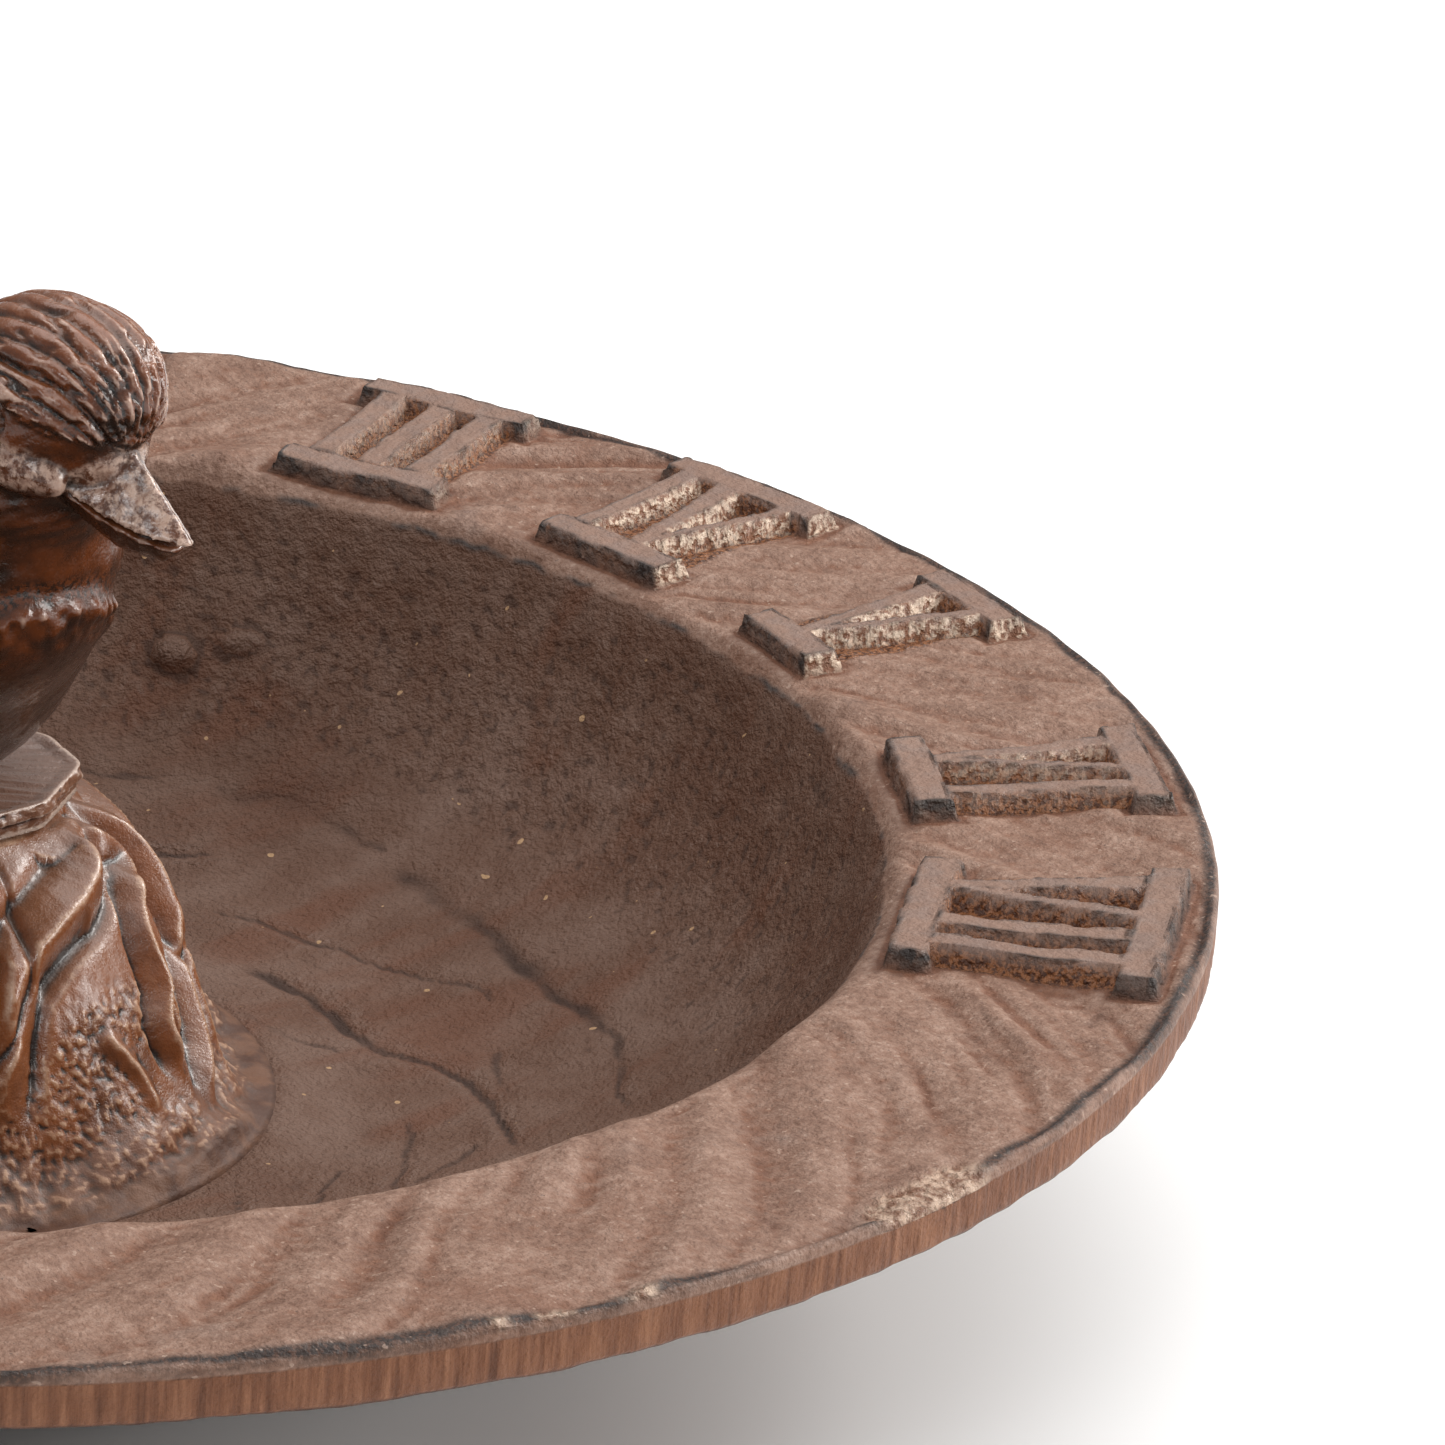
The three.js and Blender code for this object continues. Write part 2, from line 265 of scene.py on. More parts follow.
def convex(u, v, pts):
    """Signed distance, negative inside, to a convex outline."""
    pts = np.asarray(pts, float)
    area = np.sum(pts[:, 0] * np.roll(pts[:, 1], -1) - np.roll(pts[:, 0], -1) * pts[:, 1])
    if area < 0:
        pts = pts[::-1]
    d = np.full(u.shape, -1e9)
    for a, b in zip(pts, np.roll(pts, -1, 0)):
        e = b - a
        n = np.array([e[1], -e[0]]) / np.hypot(*e)
        d = np.maximum(d, (u - a[0]) * n[0] + (v - a[1]) * n[1])
    return d


def numeral_fields(x, y):
    """Signed distance to the numerals, and to the outlines that hold each numeral with the gaps between its strokes."""
    r, ang = np.hypot(x, y), np.degrees(np.arctan2(x, y))
    sd = np.full(x.shape, 9.0)
    hull = np.full(x.shape, 9.0)
    wob = 0.22 * noise(x / 3.1, y / 3.1, 4.0, 3) + 0.12 * noise(x / 1.3, y / 1.3, 1.0, 8)
    for text, cw, foot_w, head_w in HOURS:
        off = (ang - cw + 180) % 360 - 180
        half = max(foot_w, head_w) / 2
        near = (np.abs(off) < np.degrees((half + 5) / 105)) & (r > 103)
        if not near.any():
            continue
        a = np.radians(cw)
        xx, yy = x[near], y[near]
        u = xx * np.cos(a) - yy * np.sin(a)
        v = xx * np.sin(a) + yy * np.cos(a) - NUM_MID
        lines, units = strokes(text)
        h = (NUM_OUT - NUM_IN) / 2
        k = h - SERIF

        def width(w):
            return foot_w + (head_w - foot_w) * (w + h) / (2 * h)

        def bar(v0, v1, cut=0.0):
            return [(-width(v0) / 2 + cut, v0), (width(v0) / 2 - cut, v0), (width(v1) / 2 - cut, v1), (-width(v1) / 2 + cut, v1)]

        def across(q, w):
            return (q / units - 0.5) * (width(w) - 2.6)

        d = np.minimum(convex(u, v, bar(-h, -k)), convex(u, v, bar(k, h)))
        for foot, head, t0, t1 in lines:
            w = k + 0.6
            quad = [(across(foot - t0 / 2, -w), -w), (across(foot + t0 / 2, -w), -w), (across(head + t1 / 2, w), w), (across(head - t1 / 2, w), w)]
            d = np.minimum(d, convex(u, v, quad))
        sd[near] = np.minimum(sd[near], d)
        hull[near] = np.minimum(hull[near], convex(u, v, bar(-h, h, 1.3)))
    return sd + wob * (sd < 4), hull


# ------------------------------------------------------------------ dish
VEINS = [
    # (points in plan, half width at start and end, depth)
    ([(50.1, 8.1), (51.1, 4.1), (52.4, -2.9), (51.4, -13.3), (51.1, -20.9), (53.5, -25.8), (54.5, -31.2), (53.1, -37.4), (49.2, -46.4), (46.6, -51.9)], 1.5, 0.8, 1.0),
    ([(53.7, 21.2), (57.4, 14.8), (60.2, 7.3), (61.9, 1.8), (63.4, -4.0), (65.6, -11.4), (67.2, -16.0), (67.0, -20.5)], 0.9, 0.7, 0.55),
    ([(75.1, 17.4), (75.6, 9.1), (75.1, 2.9), (75.2, -4.2), (73.8, -11.4), (72.1, -18.3), (71.2, -25.5), (70.9, -31.0), (69.4, -38.1), (66.4, -43.1), (62.2, -47.7), (58.6, -55.5)], 2.6, 0.7, 0.7),
    ([(60.6, -27.3), (57.1, -32.9), (53.6, -40.9)], 1.2, 0.9, 0.45),
    ([(42.2, -2.4), (44.4, -11.5), (47.7, -18.0)], 1.4, 0.8, 0.5),
    ([(34.3, -50.1), (40.4, -48.5), (45.9, -46.2)], 0.9, 0.7, 0.5),
    ([(24.2, -47.7), (27.0, -45.5), (30.8, -41.8)], 0.8, 0.6, 0.5),
    ([(66.6, 41.9), (74.3, 31.2), (76.5, 15.9)], 3.0, 1.2, 0.45),
]


def turned_line(line, deg, stretch=1.0):
    a = math.radians(deg)
    p = np.asarray(line, float) * stretch
    return np.stack([p[:, 0] * math.cos(a) - p[:, 1] * math.sin(a), p[:, 0] * math.sin(a) + p[:, 1] * math.cos(a)], 1)


def bowl_relief(x, y, r):
    """Relief on the bowl, out of its surface."""
    h = 0.55 * noise(x / 21, y / 21, 2.0, 4) + 0.28 * noise(x / 9, y / 9, 5.0, 6) + 0.10 * noise(x / 4.2, y / 4.2, 5.0, 9)
    lines = list(VEINS)
    for k, (deg, stretch, pick) in enumerate([(72, 1.0, (0, 1, 2, 5)), (141, 1.05, (0, 2, 4, 6)), (-63, 0.97, (1, 2, 4, 7)), (-118, 1.02, (0, 1, 3, 5)), (-168, 1.0, (0, 2, 6))]):
        for i in pick:
            p, w0, w1, depth = VEINS[i]
            lines.append((turned_line(p, deg + 3 * i, stretch), w0, w1, depth * 0.9))
    groove = np.zeros_like(h)
    for p, w0, w1, depth in lines:
        p = np.asarray(p, float)
        box = (x > p[:, 0].min() - 9) & (x < p[:, 0].max() + 9) & (y > p[:, 1].min() - 9) & (y < p[:, 1].max() + 9)
        if not box.any():
            continue
        xs, ys = x[box], y[box]
        jig = 0.7
        d, s = segment_distance(xs + jig * noise(xs / 5, ys / 5, 1.0, 30), ys + jig * noise(xs / 5, ys / 5, 7.0, 31), p)
        w = 0.8 * (w0 + (w1 - w0) * s)
        fade = smooth(0, 0.08, s) * smooth(1.0, 0.9, s) * (0.75 + 0.5 * noise(xs / 7, ys / 7, 3.0, 12))
        g = 0.62 * depth * fade * np.exp(-((d / w) ** 2)) - 0.20 * depth * fade * np.exp(-(((d - 2.6 * w) / (2.0 * w)) ** 2))
        groove[box] += g
    h = h - groove
    # the knob and its small neighbour, left from the mould
    for cx, cy, lx, ly, turn, top in [(73.3, 58.9, 2.5, 1.4, -55, 1.7), (79.4, 54.0, 2.3, 0.9, -48, 0.7), (-61, -70, 2.4, 1.8, 30, 1.3)]:
        a = math.radians(turn)
        du, dv = (x - cx) * math.cos(a) + (y - cy) * math.sin(a), -(x - cx) * math.sin(a) + (y - cy) * math.cos(a)
        h = h + top * np.clip(1.25 - (du / lx) ** 2 - (dv / ly) ** 2, 0, 1) ** 0.5
    return h, groove


def pebbles(x, y, z, size, seed=0):
    a = noise(x / size, y / size, z / size, 40 + seed)
    b = noise(x / size * 1.9 + 7, y / size * 1.9, z / size * 1.9, 41 + seed)
    return a + 0.55 * b


def rim_relief(x, y, r):
    """Flowing bark-like waves on the rim top; they run slantwise, inward and anticlockwise."""
    t = (np.arctan2(y, x) / (2 * np.pi)) % 1.0
    sway = 4.0 * noise(t * 18, r / 26, 0.0, 14, wrap=18) + 0.9 * noise(t * 60, r / 10, 3.0, 15, wrap=60)

    def streak(n, along_mm, seed):
        pitch = 2 * np.pi * 122 / n
        a = t * n + (r + sway) / pitch
        return noise(a, r / along_mm, 1.0, seed, wrap=n)

    broad, mid, fine = streak(80, 30, 16), streak(150, 22, 17), streak(280, 14, 18)
    line = streak(96, 11, 24)
    where = smooth(-0.05, 0.5, noise(t * 36, r / 12, 4.0, 19, wrap=36))
    crease = np.exp(-((line / 0.07) ** 2)) * where * smooth(0.1, 0.5, noise(t * 30, r / 9, 6.0, 51, wrap=30)) * 0.5
    h0 = -0.25 * crease
    lump = noise(x / 15, y / 15, 0.5, 21)
    ridge = 0.5 - np.abs(streak(110, 26, 52)) * 2.2
    h = 1.38 * broad + (0.62 * mid + 0.20 * fine) * (0.35 + 0.65 * where) + 0.40 * lump + h0 + 0.42 * ridge * smooth(-0.1, 0.45, noise(t * 26, r / 14, 8.0, 53, wrap=26))
    return h, crease


def dish_rows():
    """Rings of (radius, height, count, zone), from the stud hole over the rim and back underneath."""
    rows = []

    def run(points, step, n, zone, first=True):
        p = along(points, step)
        for i, (r, z) in enumerate(p if first else p[1:]):
            rows.append((r, z, n, zone))

    run([(3.5, 16.5), (14.4, 16.5)], 3.0, 200, "boss")
    run([(15.0, 16.0), (15.5, 11.2)], 2.0, 200, "boss")
    run([(16.5, 10.8), (24, 10.85)], 1.5, 200, "floor")
    run([(25, 10.85), (40, 10.9), (50, 11.0), (57.5, 11.7)], 0.85, 400, "floor")
    run([(58.2, 11.8), (65, 12.7), (78, 16.2), (88, 21.0), (95, 27.0), (100, 34.0), (102.9, 39.5)], 0.72, 800, "bowl")
    run([(103.2, 40.2), (104.6, 42.9), (106.2, 44.7), (108.6, 45.35)], 0.45, 1600, "lip")
    run([(109.0, 45.4), (122, 45.95), (134, 46.65), (138.9, 46.98)], 0.45, 1600, "rim")
    run([(139.35, 46.95), (139.8, 46.65), (140.0, 46.1)], 0.3, 1600, "edge")
    run([(140.0, 45.5), (140.0, 41.9)], 0.6, 1600, "wall")
    run([(139.6, 41.35), (138.5, 41.25)], 0.6, 800, "under")
    run([(136.5, 41.2), (125, 40.7), (113, 40.1), (108.0, 38.2), (105.0, 33.8), (99.0, 24.2), (91, 16.8), (80, 11.6), (66, 8.0), (54, 6.8)], 1.5, 400, "under")
    run([(52, 6.7), (30, 6.6), (12.6, 6.6)], 2.0, 200, "under")
    run([(11.6, 7.0), (11.5, 12.0)], 2.5, 200, "under")
    run([(11.0, 12.2), (3.9, 12.2)], 2.4, 200, "under")
    run([(3.5, 12.4), (3.5, 16.2)], 1.9, 200, "under")
    return rows


FLAKE_AT = 165.5  # a rough spot on the outer edge, degrees clockwise from XII


def make_dish():
    spec = dish_rows()
    rz = np.array([(r, z) for r, z, _, _ in spec])
    tangent = np.roll(rz, -1, 0) - np.roll(rz, 1, 0)
    normal = np.stack([-tangent[:, 1], tangent[:, 0]], 1)
    normal /= np.maximum(np.linalg.norm(normal, axis=1, keepdims=True), 1e-9)
    rows, top, slot, dark, zone_v, groove_v, crease_v = [], [], [], [], [], [], []
    groups = {}
    for i, (r, z, n, zone) in enumerate(spec):
        groups.setdefault((n, zone), []).append(i)
    done = {}
    for (n, zone), idx in groups.items():
        idx = np.array(idx)
        th = np.arange(n) * 2 * np.pi / n
        r0, z0 = rz[idx, 0][:, None], rz[idx, 1][:, None]
        nr, nz = normal[idx, 0][:, None], normal[idx, 1][:, None]
        r, z = r0 + 0 * th, z0 + 0 * th
        x, y = r * np.cos(th), r * np.sin(th)
        near_wall = r * 0
        f_top, f_slot, f_dark, f_groove, f_crease = (np.zeros_like(r) for _ in range(5))
        f_zone = np.zeros_like(r)
        d = np.zeros_like(r)
        tt = (np.arctan2(x, y) / (2 * np.pi)) % 1.0
        cw = np.degrees(np.arctan2(x, y))
        lipwave = 1.0 * noise(tt * 44, 0.0, 0.0, 22, wrap=44) + 0.5 * noise(tt * 90, 0.0, 2.0, 23, wrap=90)
        if zone in ("floor", "bowl", "lip"):
            h, g = bowl_relief(x, y, r)
            m = 1 - smooth(102.5, 106.5, r)
            rough = smooth(78, 92, r) * (0.35 + 0.65 * smooth(-0.35, 0.5, noise(x / 40, y / 40, 7.0, 26) + np.cos(np.radians(cw - 62)) * 0.7))
            grain = noise(tt * 420, z / 1.1, r / 2.2, 24, wrap=420) + 0.8 * noise(tt * 700, z / 0.8, r / 1.4, 25, wrap=700)
            peb = 0.15 * grain * rough + 0.20 * pebbles(x, y, z, 4.6, 3) * rough
            d += (h + peb) * m * smooth(42.6, 50, r)
            d += 0.62 * smooth(54, 43.2, r) * smooth(41.6, 42.4, r)
            f_groove = g * m
            f_zone = 1 - smooth(104.3, 105.6, r + 0.55 * lipwave + 0.25 * noise(x / 2.2, y / 2.2, 1, 27))
        if zone in ("lip", "rim"):
            sd, hull = numeral_fields(x, y)
            h, crease = rim_relief(x, y, r)
            face = smooth(0.30, -0.30, sd)
            calm = smooth(0.2, 3.0, sd)
            m = smooth(104.8, 108.5, r) * (1 - 0.25 * smooth(137.4, 138.9, r))
            flat = np.where(sd < 0, 0.22, 0.22 + 0.78 * calm)
            d += h * m * flat
            d += face * (RISE + 0.10 * noise(x / 2.6, y / 2.6, 0.0, 29) + 0.05 * noise(x / 1.0, y / 1.0, 3.0, 28)) * smooth(106.0, 107.4, r)
            # ground dips round the numerals and falls to the lip just inside them
            d -= 0.25 * smooth(2.4, 0.4, sd) * (1 - face)
            d += (0.10 * pebbles(x, y, 0, 2.1, 6) + 0.02 * pebbles(x, y, 0, 1.0, 9)) * m * (1 - 0.6 * face)
            f_top = face
            step = 0.22
            ahead, _ = numeral_fields(x + step * y / r, y - step * x / r)
            cw_here = np.degrees(np.arctan2(x, y))
            # num_lit: painted highlight on the numeral walls turned towards the right lamp, strongest on IV to VI
            facing = smooth(0.02, 0.36, (0.806 * y + 0.588 * x) / r) * (0.22 + 0.78 * smooth(66, 74, cw_here) * smooth(130, 118, cw_here))
            f_lit = smooth(0.35, 0.75, (ahead - sd) / step) * facing * np.exp(-(((sd + 0.02) / 0.34) ** 2))
            f_slot = smooth(-0.42, 0.0, sd) * smooth(0.1, -0.45, hull) * smooth(6.0, 3.0, sd)
            f_dark = np.exp(-(((sd + 0.05) / 0.38) ** 2)) * (1 - f_slot) * smooth(-0.6, 0.0, hull) + 0.85 * np.exp(-(((sd + 0.40) / 0.20) ** 2)) * smooth(-0.1, 0.35, noise(x / 5, y / 5, 2, 68) + 0.2)
            f_crease = crease * m * (1 - face)
            z_in = smooth(108.8, 105.2, r)
            d += lipwave * 0.9 * z_in * (1 - face)
        f_line = np.zeros_like(r)
        if zone not in ("lip", "rim"):
            f_lit = np.zeros_like(r)
        if zone in ("rim", "edge"):
            wander = 1.1 * noise(tt * 60, 0.0, 3.0, 44, wrap=60) + 0.5 * noise(tt * 210, 0.0, 4.0, 45, wrap=210)
            width = 0.55 + 0.5 * smooth(-0.2, 0.6, noise(tt * 48, 0.0, 6.0, 46, wrap=48))
            f_line = np.minimum(1.0, 1.3 * np.exp(-(((r - 139.0 - 0.55 * wander) / (1.05 * width)) ** 2))) * smooth(-0.55, 0.15, noise(tt * 30, 0.0, 7.0, 47, wrap=30) + 0.35)
            f_line = np.where(r > 139.2, np.maximum(f_line, 0.5 * smooth(-0.2, 0.4, noise(tt * 120, z, 7.0, 48, wrap=120))), f_line)
            d += -0.13 * f_line * (zone == "rim")
            f_crease = np.maximum(f_crease, f_line)
        if zone in ("edge", "wall"):
            d += 0.10 * noise(tt * 500, z / 3.0, 0.0, 33, wrap=500) * (zone == "wall")
        if zone == "under":
            d += (0.25 * noise(x / 7, y / 7, z / 7, 35) + 0.12 * noise(x / 2.4, y / 2.4, z / 2.4, 36)) * smooth(13, 20, r)
        r = r + nr * d
        z = z + nz * d
        # the outer edge is not quite true
        outer = smooth(134, 139.5, r0) * (zone in ("rim", "edge", "wall", "under"))
        runout = 0.16 * noise(tt * 40, 0.0, 5.0, 37, wrap=40) + 0.12 * noise(tt * 150, 0.0, 6.0, 38, wrap=150)
        r = r + outer * (runout - 0.25)
        if zone in ("edge", "rim"):
            chip = smooth(0.55, 0.95, noise(tt * 70, 0.0, 8.0, 39, wrap=70)) * smooth(137.6, 139.2, r0)
            flake = smooth(8.0, 5.0, np.abs((cw - FLAKE_AT + 180) % 360 - 180) * 2.0) * smooth(135.2, 136.6, r0 + 1.2 * noise(tt * 150, 0, 1, 49, wrap=150))
            thin = smooth(6.5, 3.0, np.abs((cw - 184 + 180) % 360 - 180)) * smooth(0.9, 0.3, np.abs(r0 - 139.1)) * smooth(-0.1, 0.3, noise(tt * 190, 0, 2, 59, wrap=190))
            z = z - flake * (0.6 + 0.22 * pebbles(x, y, z, 1.5, 21))
            f_flake = np.maximum(flake, thin)
            z = z - chip * 0.7
            z = z + 0.14 * noise(tt * 180, 0.0, 9.0, 43, wrap=180) * smooth(136.5, 138.9, r0)
        if zone == "lip":
            r = r + 0.8 * lipwave * smooth(108.8, 105.8, r0)
        P = np.stack([r * np.cos(th), r * np.sin(th), z], -1)
        f_fl = f_flake if zone in ("edge", "rim") else np.zeros_like(r)
        zone_id = {"boss": 1.0, "wall": -1.0, "under": -2.0}.get(zone)
        if zone_id is not None:
            f_zone = np.full_like(r, zone_id)
        for k, i in enumerate(idx):
            done[i] = (P[k], f_top[k], f_slot[k], f_dark[k], f_zone[k], f_groove[k], f_crease[k], f_fl[k], f_lit[k])
    order = [done[i] for i in range(len(spec))]
    v, q, t = stitch([o[0] for o in order])
    fields = [np.concatenate([o[k] for o in order]) for k in range(1, 9)]
    rel_fine = relief(v, q, t, 2)
    rel_wide = relief(v, q, t, 14)
    clear = smooth(44.5, 48, np.hypot(v[:, 0], v[:, 1]))
    rel_fine, rel_wide = rel_fine * clear, rel_wide * clear
    ob = mesh_object("dish_casting", v, q, t, {
        "num_top": fields[0], "num_slot": fields[1], "num_dark": fields[2], "zone": fields[3], "groove": fields[4],
        "crease": fields[5], "flake": fields[6], "num_lit": fields[7], "ridge": np.clip(rel_fine / 0.10, -1, 1), "wide": np.clip(rel_wide / 0.6, -1, 1),
    })
    return ob


def lathe_object(name, profile, n, centre=(0, 0), step=0.5, closed_loop=True):
    rows = []
    th = np.arange(n) * 2 * np.pi / n
    for r, z in profile:
        rows.append(np.stack([centre[0] + r * np.cos(th), centre[1] + r * np.sin(th), np.full(n, z)], 1))
    v, q, t = stitch(rows) if closed_loop else caps(rows)
    return v, q, t


# ------------------------------------------------------------------ stump
STUMP_R = np.array([(44.3, 17.6), (41.0, 22.0), (37.5, 24.9), (34.0, 27.3), (29.0, 29.9), (24.0, 32.0), (18.0, 34.7), (14.5, 37.2), (12.4, 39.8), (11.15, 42.0)])[::-1]


def stump_base(z):
    return np.interp(z, STUMP_R[:, 0], STUMP_R[:, 1])


FOLDS = [
    # (points of angle in degrees and height, rise, width)
    ([(-47.6, 44.0), (-45.8, 43.2), (-39.9, 41.1), (-36.4, 38.7), (-40.3, 37.0), (-50.0, 36.5)], 1.2, 1.5),
    ([(-41.5, 37.0), (-48.3, 35.0), (-52.7, 31.4), (-54.1, 27.5), (-57.3, 24.5), (-57.0, 21.6), (-57.0, 19.0)], 1.9, 1.35),
    ([(-24, 44), (-25, 40), (-26, 36), (-27.5, 33.0), (-31.4, 29.5), (-39.2, 25.1), (-42.9, 21.4), (-49.7, 16.5), (-54.6, 13.6)], 1.4, 1.4),
    ([(-45.6, 32.4), (-48.3, 28.5), (-50.2, 24.6), (-50.4, 20.5)], -1.2, 0.9),
    ([(-56.6, 44.0), (-53.5, 41.5), (-63.4, 39.2), (-77.0, 37.5), (-86.7, 35.4), (-92.7, 32.7), (-97, 26), (-99, 20)], 2.0, 2.0),
    ([(-66, 36.5), (-78, 34.6), (-87, 31.5)], -1.0, 1.4),
    ([(-74.5, 27), (-72.4, 25.1), (-68.2, 20.3), (-67.5, 16.8)], 0.9, 1.1),
    ([(-96, 43), (-101, 38), (-106, 30), (-110, 22), (-116, 14)], 1.8, 1.9),
]


def stump_relief(ang, z):
    """ang in degrees, z in mm; relief out of the surface, and where the folds lie."""
    h = np.zeros_like(ang)
    on = np.zeros_like(ang)
    arc = np.radians(1.0) * stump_base(z)
    for turn, k in [(0, 1.0), (78, 0.95), (150, 1.0), (222, 0.9), (292, 1.0)]:
        for pts, rise, w in FOLDS:
            p = np.asarray(pts, float)
            mid = p[:, 0].mean() + turn
            rel = (ang - mid + 180) % 360 - 180
            box = np.abs(rel) < 42
            line = np.stack([np.radians(p[:, 0] + turn - mid) * stump_base(p[:, 1]), p[:, 1]], 1)
            line = along(line, 0.8)
            sway = 0.5 * noise(rel[box] / 9, z[box] / 6, turn, 57) + 0.15 * noise(rel[box] / 3, z[box] / 2, turn, 58)
            d, s = segment_distance(rel[box] * arc[box] + sway, z[box], line)
            fade = smooth(-0.02, 0.15, s) * smooth(1.02, 0.8, s)
            h[box] += rise * k * fade * (0.55 * np.exp(-((d / (0.8 * w)) ** 2)) + 0.5 * np.clip(1 - d / (1.35 * w), 0, 1) ** 1.1)
            if rise > 1.0:  # a crease runs beside each fold
                h[box] -= 0.55 * rise * k * fade * np.exp(-(((d - 1.75 * w) / (0.42 * w)) ** 2))
            on[box] = np.maximum(on[box], fade * np.exp(-((d / (1.5 * w)) ** 4)))
    return h, on


def make_stump():
    n = 640
    th = np.arange(n) * 2 * np.pi / n
    rows, coarse = [], []
    outer = along([(17.9, 43.9), (19.0, 43.0), (22.0, 41.0), (24.9, 37.5), (27.3, 34.0), (29.9, 29.0), (32.0, 24.0), (34.7, 18.0), (37.2, 14.5), (39.6, 12.6), (41.3, 11.65)], 0.42)
    spec = [(r, 44.25, "top") for r in np.linspace(3.5, 17.0, 15)] + [(r, z, "bark") for r, z in outer]
    spec += [(42.3, 11.30, "foot"), (42.0, 11.12, "foot"), (36, 11.12, "foot"), (26, 11.12, "foot"), (16.4, 11.12, "foot"), (16.1, 11.4, "foot"), (16.1, 14.8, "foot"), (16.1, 18.1, "foot"), (15.6, 18.3, "foot"), (9, 18.3, "foot"), (3.8, 18.3, "foot"), (3.5, 18.6, "foot"), (3.5, 26, "foot"), (3.5, 35, "foot"), (3.5, 43.9, "foot")]
    rz = np.array([(a, b) for a, b, _ in spec])
    tangent = np.roll(rz, -1, 0) - np.roll(rz, 1, 0)
    normal = np.stack([-tangent[:, 1], tangent[:, 0]], 1)
    normal /= np.linalg.norm(normal, axis=1, keepdims=True)
    R, Z = rz[:, 0][:, None] + 0 * th, rz[:, 1][:, None] + 0 * th
    is_bark = np.array([k == "bark" for _, _, k in spec])[:, None] + 0 * th > 0.5
    is_top = np.array([k == "top" for _, _, k in spec])[:, None] + 0 * th > 0.5
    ang = np.degrees(th)[None] + 0 * R
    x, y = R * np.cos(th), R * np.sin(th)
    h, on = stump_relief(ang, Z)
    # broad lobes, stronger at the roots
    low = smooth(34, 12, Z)
    lobes = 0.8 * np.sin(np.radians(ang * 5 + 40)) + 0.6 * noise(np.cos(th) * 2.4 + 0 * R, np.sin(th) * 2.4 + 0 * R, Z / 30, 50)
    h = h + lobes * (0.35 + 1.1 * low)
    sx, sy, sz = x / 1.0, y / 1.0, Z / 1.0
    skin = 0.25 + 0.75 * smooth(-0.25, 0.10, noise(x / 12, y / 12, Z / 16, 52) + 0.22 * smooth(34, 24, Z))
    for turn in (0, 78, 150, 222, 292):
        da = (ang + 80 - turn + 180) % 360 - 180
        skin = np.maximum(skin, smooth(16, 11, np.abs(da)) * smooth(30, 27, Z + 0.2 * np.abs(da)))
        skin = np.maximum(skin, smooth(24, 16, np.abs(da - 3)) * smooth(18.5, 16.5, Z))
    skin *= smooth(32, 28, Z) * (1 - 0.75 * on)
    hammer = 0.75 * pebbles(sx, sy, sz, 0.75, 11) + 0.5 * pebbles(sx, sy, sz, 1.35, 12)
    strands = noise(x / 4.5, y / 4.5, Z / 16.0, 53) * 0.35
    h = h + strands * smooth(43, 39, Z) + 0.28 * hammer * skin + 0.05 * noise(sx / 0.8, sy / 0.8, sz / 0.8, 54)
    h = h + (0.45 * pebbles(x, y, Z, 3.4, 13) + 0.9 * noise(x / 6.5, y / 6.5, Z / 6.5, 59)) * smooth(20, 13, Z)
    fade = smooth(11.3, 12.7, Z) * smooth(44.0, 43.0, Z)
    h = np.where(is_bark, h * fade, 0.0)
    h = np.where(is_top, 0.12 * noise(x / 2, y / 2, 0, 55) * smooth(3.5, 6, R), h)
    nr, nz = normal[:, 0][:, None], normal[:, 1][:, None]
    R2, Z2 = R + nr * h, np.clip(Z + nz * h, 11.12, 44.45)
    P = np.stack([R2 * np.cos(th), R2 * np.sin(th), Z2], -1)
    v, q, t = stitch([P[i] for i in range(len(spec))])
    skin_v = np.where(is_bark, skin, 0).ravel()
    foot_v = np.where(is_bark | (R > 30), smooth(20.0, 12.0, Z), 0).ravel()
    ob = mesh_object("stump_casting", v, q, t, {
        "skin": skin_v, "foot": foot_v, "ridge": np.clip(relief(v, q, t, 2) / 0.12, -1, 1), "wide": np.clip(relief(v, q, t, 12) / 0.7, -1, 1),
    })
    return ob


# ------------------------------------------------------------------ perch slab
SLAB = [(18.4, -9.6), (19.4, -1.0), (13.5, 8.5), (6.0, 15.5), (-4.5, 17.2), (-13.0, 12.0), (-18.0, 4.0), (-17.2, -7.0), (-10.0, -15.4), (-1.0, -18.6), (9.0, -17.4)]


